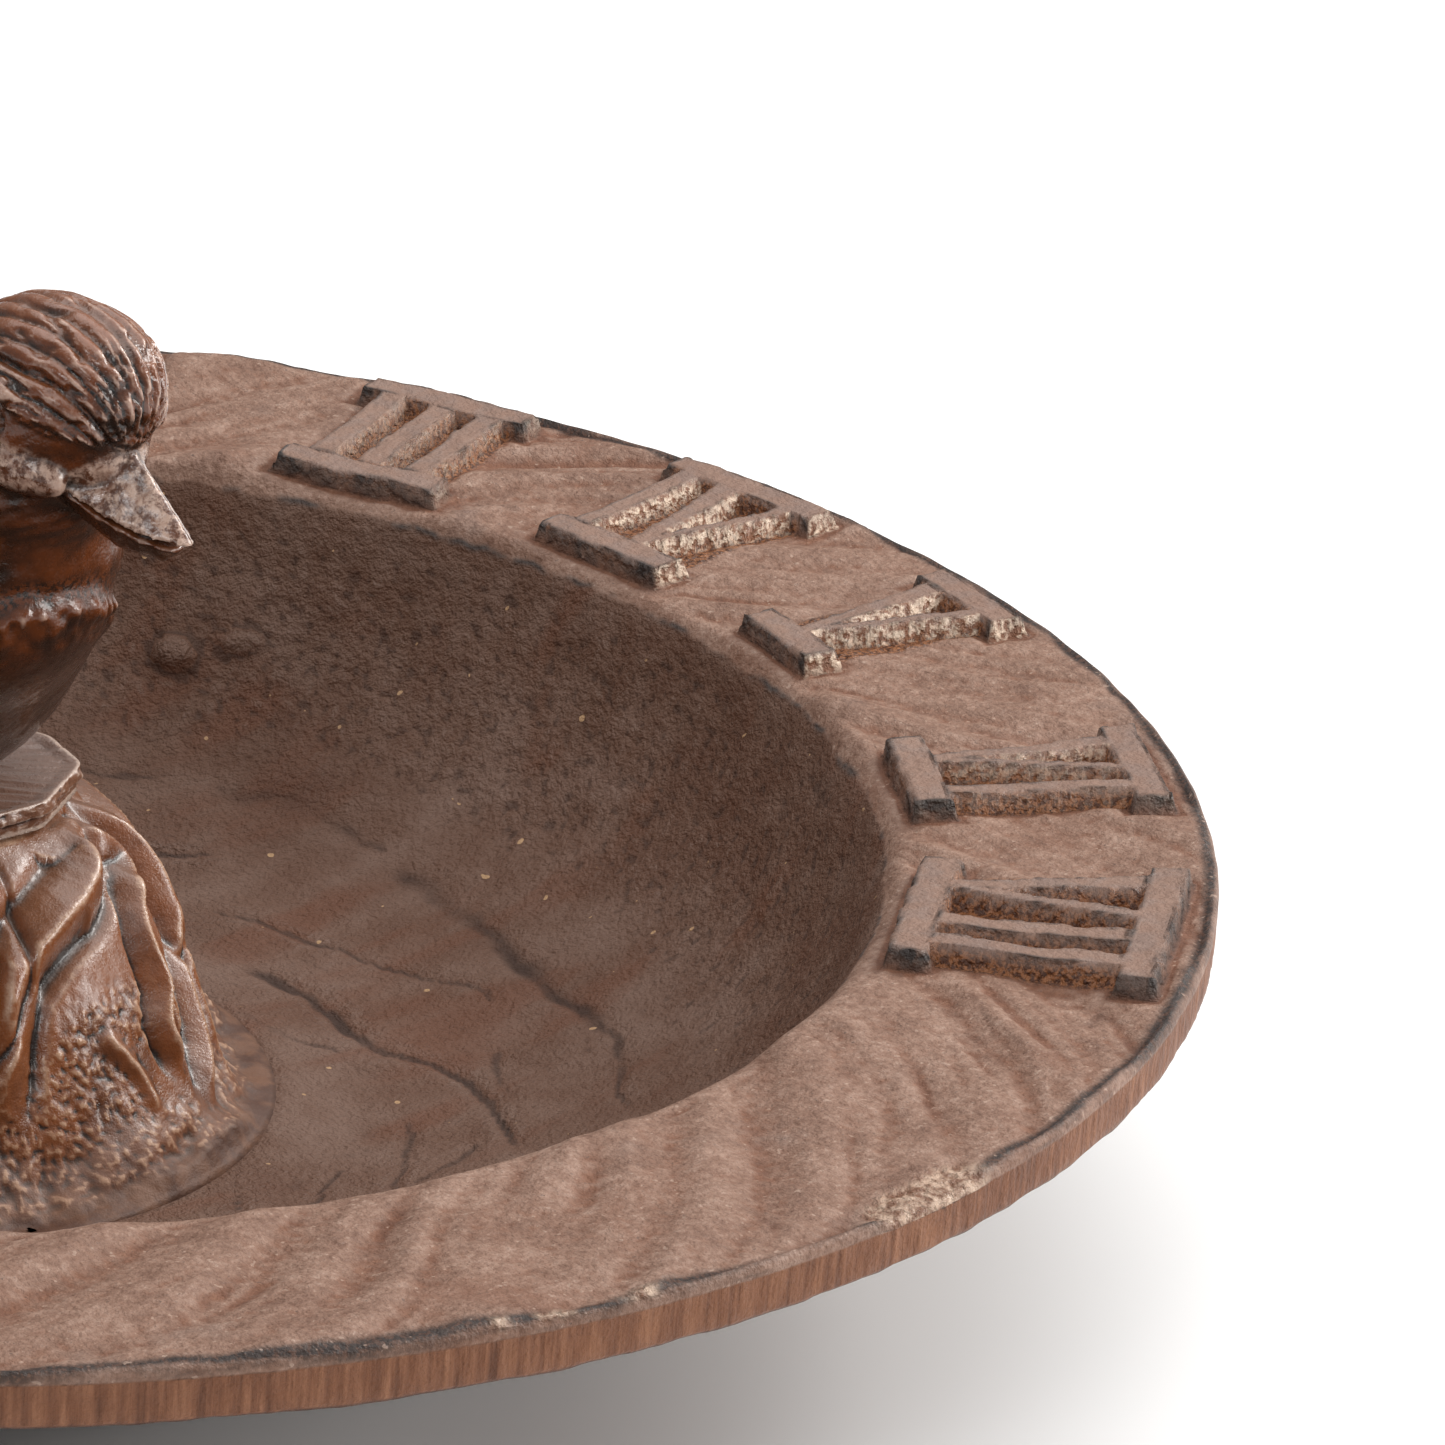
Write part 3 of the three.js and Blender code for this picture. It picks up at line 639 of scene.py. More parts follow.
def make_slab():
    n = 480
    th = np.arange(n) * 2 * np.pi / n
    pts = np.array(SLAB)
    reach = np.full(n, 1e9)
    for a, b in zip(pts, np.roll(pts, -1, 0)):
        e = b - a
        nn = np.array([e[1], -e[0]]) / np.hypot(*e)
        nn = nn if nn @ a > 0 else -nn
        c = nn[0] * np.cos(th) + nn[1] * np.sin(th)
        reach = np.minimum(reach, np.where(c > 1e-3, (nn @ a) / np.maximum(c, 1e-3), 1e9))
    k = np.exp(-(((np.arange(n) + n // 2) % n - n // 2) ** 2) / 18.0)
    reach = np.real(np.fft.ifft(np.fft.fft(reach) * np.fft.fft(k / k.sum()))) - 0.1
    z0, z1 = 44.65, 47.6
    spec = [(f, z1, 0) for f in np.linspace(0.0, 0.965, 34)] + [(0.985, z1 - 0.12, 1), (0.997, z1 - 0.38, 1)]
    spec += [(1.0, z, 2) for z in np.linspace(z1 - 0.8, z0 + 0.6, 7)] + [(0.985, z0 + 0.2, 2), (0.95, z0, 3), (0.6, z0, 3), (0.25, z0, 3), (0.0, z0, 3)]
    rows = []
    for f, z, kind in spec:
        r = 3.3 + (reach - 3.3) * f
        x, y = r * np.cos(th), r * np.sin(th)
        # the split face: fine parallel grain and a few broader steps
        a = math.radians(-38)
        g = x * math.cos(a) + y * math.sin(a)
        w = -x * math.sin(a) + y * math.cos(a)
        grain = 0.20 * noise(g / 9, w / 1.5, 0, 60) + 0.13 * noise(g / 6, w / 0.8, 3, 61) + 0.25 * noise(x / 7, y / 7, 1, 62)
        lip = 0.35 * smooth(0.86, 0.95, np.full(n, f)) * (kind == 0)
        edge = 0.35 * noise(th * 0 + np.cos(th) * 9, np.sin(th) * 9, z / 1.4, 63) + 0.2 * noise(np.cos(th) * 26, np.sin(th) * 26, z / 0.9, 64)
        zz = np.full(n, z)
        if kind in (0, 1):
            zz = np.minimum(zz + (grain - 0.30) * smooth(0.02, 0.12, np.full(n, f)) + lip, z1)
        if kind in (1, 2):
            rr = r + edge - 0.35 - (0.5 if kind == 2 and z < z0 + 1.6 else 0)
            x, y = rr * np.cos(th), rr * np.sin(th)
        rows.append(np.stack([x, y, zz], 1))
    v, q, t = stitch(rows)
    return mesh_object("slab_stone", v, q, t, {"ridge": np.clip(relief(v, q, t, 2) / 0.12, -1, 1), "wide": np.clip(relief(v, q, t, 10) / 0.6, -1, 1)})


# ------------------------------------------------------------------ bird
VOX = 0.36
LO, HI = np.array([-27.0, -48.0, 46.4]), np.array([27.0, 60.0, 110.0])
HEAD = np.array([2.5, -25.3, 95.7])
HEAD_TURN = math.radians(15)
FWD = np.array([math.sin(HEAD_TURN), -math.cos(HEAD_TURN), 0.0])
LEFT = np.array([math.cos(HEAD_TURN), math.sin(HEAD_TURN), 0.0])
UP = np.array([0.0, 0.0, 1.0])


def head_point(f, l, u):
    return HEAD + FWD * f + LEFT * l + UP * u


def rot_x(deg):
    a = math.radians(deg)
    return np.array([[1, 0, 0], [0, math.cos(a), -math.sin(a)], [0, math.sin(a), math.cos(a)]])


def rot_y(deg):
    a = math.radians(deg)
    return np.array([[math.cos(a), 0, math.sin(a)], [0, 1, 0], [-math.sin(a), 0, math.cos(a)]])


def rot_z(deg):
    a = math.radians(deg)
    return np.array([[math.cos(a), -math.sin(a), 0], [math.sin(a), math.cos(a), 0], [0, 0, 1]])


HEAD_AXES = np.stack([LEFT, -FWD, UP], 1)  # columns: local x (left), y (back), z (up)


class Clay:
    """A block of distances to a growing shape, worked region by region."""

    def __init__(self):
        self.n = np.ceil((HI - LO) / VOX).astype(int)
        self.d = np.full(self.n, 6.0, np.float32)
        self.axes = [(LO[k] + VOX * np.arange(self.n[k])).astype(np.float32) for k in range(3)]

    def region(self, lo, hi, margin):
        s = []
        for k in range(3):
            a = int(np.clip(np.floor((lo[k] - margin - LO[k]) / VOX), 0, self.n[k] - 1))
            b = int(np.clip(np.ceil((hi[k] + margin - LO[k]) / VOX), a + 1, self.n[k]))
            s.append(slice(a, b))
        return tuple(s)

    def local(self, s, c, axes=None):
        x = self.axes[0][s[0]][:, None, None] - np.float32(c[0])
        y = self.axes[1][s[1]][None, :, None] - np.float32(c[1])
        z = self.axes[2][s[2]][None, None, :] - np.float32(c[2])
        if axes is None:
            return x, y, z
        A = axes.astype(np.float32)
        return tuple(x * A[0, k] + y * A[1, k] + z * A[2, k] for k in range(3))

    def join(self, s, d, k):
        a = self.d[s]
        if k <= 0:
            self.d[s] = np.minimum(a, d)
            return
        h = np.clip(0.5 + 0.5 * (a - d) / k, 0, 1)
        self.d[s] = a + (d - a) * h - k * h * (1 - h)

    def carve(self, s, d, k):
        a = self.d[s]
        b = -d
        h = np.clip(0.5 - 0.5 * (a - b) / max(k, 1e-3), 0, 1)
        self.d[s] = a + (b - a) * h + k * h * (1 - h)

    def ellipsoid(self, c, r, axes=None, k=2.0, cut=False):
        c, r = np.asarray(c, float), np.asarray(r, float)
        reach = np.abs(np.eye(3) if axes is None else axes) @ r
        s = self.region(c - reach, c + reach, k + 1.5)
        x, y, z = self.local(s, c, axes)
        k0 = np.sqrt((x / r[0]) ** 2 + (y / r[1]) ** 2 + (z / r[2]) ** 2)
        k1 = np.sqrt((x / r[0] ** 2) ** 2 + (y / r[1] ** 2) ** 2 + (z / r[2] ** 2) ** 2)
        d = k0 * (k0 - 1) / np.maximum(k1, 1e-6)
        (self.carve if cut else self.join)(s, d, k)

    def limb(self, a, b, ra, rb, k=0.8, cut=False, flat=None):
        """A rounded rod from a to b. flat=(direction, factor) thins it along a direction."""
        a, b = np.asarray(a, float), np.asarray(b, float)
        r = max(ra, rb)
        s = self.region(np.minimum(a, b) - r, np.maximum(a, b) + r, k + 1.5)
        x, y, z = self.local(s, a)
        ab = b - a
        t = np.clip((x * ab[0] + y * ab[1] + z * ab[2]) / (ab @ ab), 0, 1)
        dx, dy, dz = x - t * ab[0], y - t * ab[1], z - t * ab[2]
        if flat is not None:
            n, f = np.asarray(flat[0], float), flat[1]
            n = n / np.linalg.norm(n)
            p = dx * n[0] + dy * n[1] + dz * n[2]
            dx, dy, dz = dx + p * n[0] * (f - 1), dy + p * n[1] * (f - 1), dz + p * n[2] * (f - 1)
        d = np.sqrt(dx * dx + dy * dy + dz * dz) - (ra + (rb - ra) * t)
        if flat is not None:
            d = d / max(1.0, flat[1]) if flat[1] > 1 else d
        (self.carve if cut else self.join)(s, d.astype(np.float32), k)


WING_C = np.array([16.0, 8.5, 68.0])


def wing_axes(side):
    return rot_x(-33) @ rot_y(side * 8) @ rot_z(side * 6)


def make_bird():
    c = Clay()
    pitch = rot_x(-40)
    # trunk, breast, rump
    c.ellipsoid([0, -2.5, 70], [20.6, 25.4, 19.8], pitch, k=0)
    c.ellipsoid([0.4, -12.5, 76.5], [14.6, 13.2, 16.0], rot_x(-55), k=4)
    c.ellipsoid([0, 12, 63.5], [13.5, 17, 10.5], rot_x(-28), k=5)
    c.ellipsoid([0, -5.5, 60.5], [14.6, 12, 12.0], None, k=4)
    # neck and head
    c.ellipsoid([1.2, -17.6, 87.5], [11.8, 12.6, 12.3], rot_x(-45), k=3.5)
    c.ellipsoid(head_point(-1.0, 0, 0.2), [10.4, 11.0, 10.1], HEAD_AXES, k=1.5)
    c.ellipsoid(head_point(3.9, 0, 2.4), [8.0, 7.9, 7.3], HEAD_AXES, k=2.0)
    c.ellipsoid(head_point(4.8, 0, -4.0), [5.3, 6.2, 4.6], HEAD_AXES, k=1.6)
    # ear coverts, brows and eyes
    for sd in (-1, 1):
        eye = 0.4 if sd < 0 else -0.8
        c.ellipsoid(head_point(0.6 if sd < 0 else -2.6, 7.2 * sd, -3.9), [3.0, 7.2, 3.2], HEAD_AXES @ rot_z(-sd * 8) @ rot_x(16), k=0.35)
        c.limb(head_point(4.6, 8.5 * sd, 1.6), head_point(1.4, 9.6 * sd, 4.0), 0.75, 0.9, k=0.5)
        c.limb(head_point(1.4, 9.6 * sd, 4.0), head_point(-4.6, 9.6 * sd, 3.2), 0.9, 0.6, k=0.5)
        c.ellipsoid(head_point(eye, 9.9 * sd, 0.3), [2.0, 2.7, 2.5], HEAD_AXES, k=0.4, cut=True)
        for rad, thick, out in ((2.2, 0.42, 9.75), (3.05, 0.45, 9.35)):
            for i in range(18):
                a0, a1 = 2 * math.pi * i / 18, 2 * math.pi * (i + 1) / 18
                p = [head_point(eye + rad * math.cos(a), (out - 0.22 * rad * math.cos(a)) * sd, 0.3 + rad * 0.9 * math.sin(a)) for a in (a0, a1)]
                c.limb(p[0], p[1], thick, thick, k=0.25)
        c.ellipsoid(head_point(eye, 8.7 * sd, 0.3), [1.7, 1.75, 1.7], HEAD_AXES, k=0.1)
    # beak: a broad roof above, a slim jaw below, a dark line between
    lo, hi = head_point(10, 0, -6) - 12, head_point(10, 0, -6) + 12
    s = c.region(lo, hi, 0)
    l, f, u = c.local(s, HEAD, HEAD_AXES)
    f = -f
    al = np.abs(l)
    q = np.clip((f - 5.3) / 14.0, 0, 1)
    w = 5.6 * (1 - q) ** 0.62 + 0.22
    u_t = np.interp(f, [4, 5.3, 9.65, 13.9, 18.3, 20], [-5.6, -5.9, -7.9, -9.3, -10.1, -10.2]).astype(np.float32)
    u_c = np.where(f < 10.6, -2.4 + 0.15 * (10.6 - f), -2.2 - 0.80 * (f - 10.6) - 0.012 * (f - 10.6) ** 2)
    roof = u_c - (u_c - u_t) * (al / w) ** 1.2
    upper = np.maximum.reduce([(u - roof) * 0.60, u_t - u, al - w, 3.0 - f, f - 19.4])
    c.join(s, upper.astype(np.float32), 0.35)
    u_k = np.interp(f, [4, 5.5, 9.65, 15.5, 17.8], [-10.5, -11.3, -13.0, -12.9, -11.2]).astype(np.float32)
    top_l = u_t - 0.75
    keel = u_k + (top_l - u_k) * (al / (0.84 * w)) ** 1.5
    lower = np.maximum.reduce([(keel - u) * 0.75, u - top_l, al - 0.84 * w, 4.0 - f, f - 17.6])
    c.join(s, lower.astype(np.float32), 0.15)
    for sd in (-1, 1):
        c.ellipsoid(head_point(11.6, 2.3 * sd, -4.2), [0.55, 0.9, 0.45], HEAD_AXES, k=0.3, cut=True)
    # wings, folded, with the long feathers crossing over the rump
    for sd in (-1, 1):
        A = wing_axes(sd)
        c.ellipsoid([sd * WING_C[0], WING_C[1], WING_C[2]], [5.1, 24.0, 11.6], A, k=0.9)
        c.ellipsoid([sd * 15.0, -8.5, 77.5], [4.8, 9.0, 7.4], rot_x(-45), k=2.4)
        for i in range(5):
            a = np.array([sd * (15.0 - 1.0 * i), 14 + 1.5 * i, 66.5 - 2.0 * i + 2.4])
            b = np.array([sd * (4.2 + 0.9 * i), 42.5 - 3.4 * i, 52.4 - 0.35 * i + 1.6])
            c.limb(a, b, 2.3, 1.5, k=0.35, flat=((0.25 * sd, 0.42, 0.88), 1.5))
    # tail: five overlapping feathers, the middle one on top
    for i, off in enumerate((-2, 2, -1, 1, 0)):
        lift = 0.9 - 0.42 * abs(off)
        a = np.array([off * 2.1, 17, 60.0 + lift])
        b = np.array([off * 3.3, 51.2 - 0.9 * abs(off), 44.4 + lift])
        c.limb(a, b, 2.6, 2.9, k=0.18, flat=((0, 0.42, 0.91), 1.9))
    c.ellipsoid([0, 20, 58.6], [8.5, 13, 4.4], rot_x(-26), k=2.0)
    # thighs, shanks, toes
    for sd in (-1, 1):
        c.ellipsoid([sd * 6.2, -1.8, 54.0], [5.8, 7.0, 5.4], rot_x(12), k=1.4)
        c.limb([sd * 5.8, -1.4, 52], [sd * 5.2, -0.6, 49.4], 2.0, 1.8, k=0.8)
        for dx, ln in ((-2.4, 5.0), (0.1, 5.5), (2.5, 4.8)):
            a = np.array([sd * 5.2, -0.2, 49.5])
            m = a + np.array([dx * 0.55, -ln * 0.55, 0.35])
            b = a + np.array([dx, -ln, -0.3])
            c.limb(a, m, 1.55, 1.4, k=0.5)
            c.limb(m, b, 1.4, 1.15, k=0.35)
            c.limb(b, b + np.array([dx * 0.22, -1.6, -0.9]), 0.95, 0.3, k=0.3)
        a = np.array([sd * 5.2, 0.2, 49.3])
        c.limb(a, a + np.array([-sd * 0.6, 6.4, -0.1]), 1.5, 1.1, k=0.5)
        c.limb(a + np.array([-sd * 0.6, 6.4, -0.1]), a + np.array([-sd * 0.7, 8.4, -1.0]), 0.9, 0.3, k=0.3)
    # the casting's flat seat, and the threaded hole
    z = c.axes[2][None, None, :]
    c.d = np.maximum(c.d, 47.95 - z)
    x, y, z = c.local((slice(None),) * 3, [0, 0, 0])
    hole = np.maximum(np.sqrt(x * x + y * y) - 3.35, z - 62.3)
    c.d = np.maximum(c.d, -hole).astype(np.float32)
    grid = openvdb.FloatGrid()
    grid.background = 3.0
    grid.copyFromArray(np.clip(c.d / VOX, -3, 3))
    p, tr, qd = grid.convertToPolygons(isovalue=0.0)
    v = np.asarray(p, np.float64) * VOX + LO
    qd = np.asarray(qd, np.int64)
    # keep the largest body and drop crumbs
    a, b, cc = v[qd[:, 0]], v[qd[:, 1]], v[qd[:, 2]]
    vol = np.einsum("ij,ij->i", v[qd[:, 0]], np.cross(v[qd[:, 2]] - v[qd[:, 0]], v[qd[:, 3]] - v[qd[:, 1]])).sum()
    if vol < 0:
        qd = qd[:, ::-1]
    label = np.arange(len(v))
    e = edges_of(qd, None)
    for _ in range(400):
        m = np.minimum(label[e[:, 0]], label[e[:, 1]])
        new = label.copy()
        np.minimum.at(new, e[:, 0], m)
        np.minimum.at(new, e[:, 1], m)
        new = new[new]
        if (new == label).all():
            break
        label = new
    big = np.bincount(label).argmax()
    keep = label == big
    index = np.cumsum(keep) - 1
    qd = index[qd[keep[qd[:, 0]]]]
    v = v[keep]
    # relax the voxel steps
    e = edges_of(qd, None)
    for w in (0.5, -0.52, 0.5, -0.52):
        v = v + w * (spread(v, e, len(v)) - v)
    n = normals_of(v, qd, None)
    n = spread(n, e, len(v), 2)
    n /= np.linalg.norm(n, axis=1, keepdims=True)
    seat = smooth(48.2, 49.2, v[:, 2])
    h = bird_feathers(v, n) * seat
    v = v + n * h[:, None]
    n2 = len(v)
    ob = mesh_object("bird_casting", v, qd, None, {
        "ridge": np.clip(relief(v, qd, None, 2) / 0.17, -1, 1), "wide": np.clip(relief(v, qd, None, 14) / 0.6, -1, 1),
        "cut": np.clip(-h / 0.4, 0, 1), "pale": bird_pale(v),
    })
    return ob


def bird_pale(v):
    """Where the waxed surface is rubbed pale: the ear coverts and the beak."""
    q = v - HEAD
    f, l, u = q @ FWD, q @ LEFT, q @ UP
    out = np.zeros(len(v))
    for sd in (-1, 1):
        e = (q - (FWD * (0.6 if sd < 0 else -2.6) + LEFT * 7.6 * sd + UP * -3.9)) @ (HEAD_AXES @ rot_z(-sd * 8) @ rot_x(16))
        out = np.maximum(out, smooth(1.25, 0.75, (e[:, 0] / 3.8) ** 2 + (e[:, 1] / 7.4) ** 2 + (e[:, 2] / 3.4) ** 2) * smooth(-6.8, -5.4, u))
    beak = smooth(-0.2, 0.5, f - 5.0) * smooth(0.3, -0.2, u + 2.1 + 0.80 * np.maximum(f - 10.6, 0) - 0.25 * np.abs(l)) * smooth(8, 6.5, np.abs(l))
    tomium = np.interp(f, [4, 5.3, 9.65, 13.9, 18.3], [-5.6, -5.9, -7.9, -9.3, -10.1])
    root = np.where(f < 10.6, smooth(0.3, -0.3, u + 5.7 - 0.68 * (f - 5.3)), 1.0)
    return np.maximum(out, beak * root * smooth(-0.3, 0.1, u - tomium))


def scale_rows(s, t, size_s, size_t):
    """Overlapping rounded feathers: height and the shadow line at each tip. s runs from head to tail."""
    out = np.full(s.shape, -1.0)
    edge = np.zeros(s.shape)
    row = np.floor(s / size_s)
    for k in (-1, 0, 1):
        rr = row + k
        shift = 0.5 * (rr % 2)
        col = np.round(t / size_t - shift)
        cs, ct = (rr + 0.5) * size_s, (col + shift) * size_t
        a, b = (s - cs) / (size_s * 0.95), (t - ct) / (size_t * 0.60)
        inside = np.where(a > 0, a * a + b * b, b * b * 0.9)
        ht = np.where(inside < 1, 0.5 + 0.45 * a, -1.0)
        better = ht > out
        out = np.where(better, ht, out)
        edge = np.where(better, smooth(0.55, 1.0, inside), edge)
    return np.maximum(out, 0), edge


def bird_feathers(v, n):
    q = v - HEAD
    f, l, u = q @ FWD, q @ LEFT, q @ UP
    side = np.sign(v[:, 0])
    h = np.zeros(len(v))
    # crown: strands that gather at the root of the beak
    af, al, au = 13.2, 0.0, -4.6
    w_u, w_l, w_f = u - au, l - al, af - f
    fan = np.arctan2(w_l, w_u + 0.6)
    dist = np.sqrt(w_u**2 + w_l**2 + w_f**2)
    line = u - (3.0 - 0.43 * f)
    on_crown = smooth(-0.5, 0.5, line) * smooth(2.0, 3.6, dist) * smooth(17, 14.0, np.sqrt(f * f + l * l + u * u)) * smooth(-13, -9, f)
    bend = fan * 20.0 + 0.6 * noise(f / 5.0, l / 4.0, u / 5.0, 70)
    strand = np.abs(np.sin(bend))
    dash = noise(dist / 2.2, bend / 1.4, 2.0, 71)
    groove = (1 - strand) ** 2.2
    h -= on_crown * (0.55 * groove + 0.50 * smooth(0.0, 0.4, dash) * (0.4 + 0.6 * strand))
    h += on_crown * (0.15 * strand + 0.45 * smooth(-11.5, -4.0, f))
    # two bolder crown stripes
    for a0 in (-0.62, 0.62):
        h -= on_crown * 0.45 * np.exp(-(((fan - a0) * dist) / 0.7) ** 2)
    # cheek and throat: short strokes running back and down
    face = smooth(16, 13, np.sqrt(f * f + l * l + u * u)) * (1 - on_crown) * smooth(11.5, 8.5, f)
    s1 = (-f) * 0.9 - u * 0.45
    t1 = u * 0.9 - f * 0.45
    h += face * 0.16 * noise(s1 / 2.6, t1 / 0.85, l / 6, 72)
    # body
    a = math.radians(40)
    bs = v[:, 1] * math.cos(a) - (v[:, 2] - 70) * math.sin(a)
    bw = v[:, 1] * math.sin(a) + (v[:, 2] - 70) * math.cos(a)
    around = np.arctan2(v[:, 0], -bw)
    away = smooth(12, 15.5, np.sqrt(f * f + l * l + u * u))
    wing_m = np.zeros(len(v))
    ws = np.zeros(len(v))
    wt = np.zeros(len(v))
    for sd in (-1, 1):
        A = wing_axes(sd)
        p = (v - np.array([sd * WING_C[0], WING_C[1], WING_C[2]])) @ A
        m = (np.sign(v[:, 0]) == sd) & (sd * p[:, 0] > -1.5)
        inside = (p[:, 1] / 29.5) ** 2 + (p[:, 2] / 13.5) ** 2
        mm = m * smooth(1.12, 0.92, inside) * smooth(0.15, 0.45, sd * n[:, 0])
        wing_m = np.maximum(wing_m, mm)
        ws = np.where(m, p[:, 1], ws)
        wt = np.where(m, p[:, 2], wt)
    tail_m = smooth(24, 30, v[:, 1]) * (1 - 0.0)
    plain = away * (1 - wing_m) * (1 - tail_m)
    hh, ed = scale_rows(bs + 40 + 1.2 * noise(v[:, 0] / 9, v[:, 1] / 9, v[:, 2] / 9, 73), around * 17, 5.6, 5.2)
    h += plain * smooth(-18, -4, v[:, 1]) * (0.30 * hh - 0.26 * ed) * (0.45 + 0.55 * smooth(-0.4, 0.4, noise(v[:, 0] / 12, v[:, 1] / 12, v[:, 2] / 12, 74)))
    h += plain * 0.11 * smooth(-12, 2, v[:, 1]) * noise(bs / 3.6, around * 17 / 0.85, 0, 75)
    # breast tufts: one line of raised tips across the chest
    tuft_z = 72.7 - 0.49 * (v[:, 1] + 26) + 0.9 * noise(v[:, 0] / 3.4, 0, 0, 76)
    front = smooth(-6, -11, v[:, 1]) * away * smooth(-0.1, 0.2, -n[:, 1] + 0.3 * np.abs(n[:, 0]))
    d = v[:, 2] - tuft_z
    tip = 0.45 + 1.3 * noise(v[:, 0] / 1.5, v[:, 1] / 1.5, v[:, 2] / 2.5, 80)
    h += front * (0.62 * tip * np.where(d > 0, np.exp(-((d / 0.8) ** 2)), np.exp(-((d / 2.6) ** 2))) - 0.45 * np.exp(-(((d - 2.4) / 1.6) ** 2)))
    # wings: three rows of short coverts, then the long feathers
    cov = smooth(6.0, 2.0, ws - 0.25 * wt)
    hh, ed = scale_rows(ws + 60, wt + 40, 5.0, 4.4)
    h += wing_m * cov * (0.50 * hh - 0.42 * ed)
    lane = (wt + 0.20 * (ws - 2)) / 2.5
    fr = lane - np.floor(lane)
    long_m = wing_m * (1 - cov)
    h += long_m * (0.50 * fr - 0.55 * np.exp(-((np.minimum(fr, 1 - fr) / 0.09) ** 2)) + 0.08 * np.sin(ws * 2.6 + wt * 6))
    rim = np.exp(-(((ws - 0.25 * wt - 4.0) / 0.7) ** 2))
    h -= wing_m * 0.35 * rim
    h += (wing_m * 0.10 + tail_m * 0.12) * noise(ws / 3.4 + v[:, 1] / 5, wt / 0.7 + v[:, 0] / 0.7, 0, 77)
    # tail: a shaft line and fine barbs on each feather
    h -= tail_m * 0.20 * np.exp(-((np.abs((v[:, 0] / (2.1 + 0.035 * (v[:, 1] - 17)) + 0.5) % 1.0 - 0.5) / 0.07) ** 2)) * smooth(-0.2, 0.4, n[:, 2])
    h += 0.03 * noise(v[:, 0] / 0.9, v[:, 1] / 0.9, v[:, 2] / 0.9, 78) + 0.07 * noise(v[:, 0] / 2.2, v[:, 1] / 2.2, v[:, 2] / 2.2, 79)
    # keep the eyes and the beak smooth
    for sd in (-1, 1):
        e = v - head_point(0.4, 9.0 * sd, 0.3)
        h *= smooth(2.2, 3.6, np.sqrt((e * e).sum(1)))
    beak = smooth(-0.2, 0.5, f - 5.0) * smooth(0.2, -0.3, u + 2.1 + 0.80 * np.maximum(f - 10.6, 0) - 0.25 * np.abs(l)) * smooth(8, 6.5, np.abs(l)) * smooth(-14.0, -13.4, u)
    h *= 1 - 0.8 * beak
    h += beak * 0.12 * noise(v[:, 0] / 1.4, v[:, 1] / 1.4, v[:, 2] / 1.4, 81)
    return h


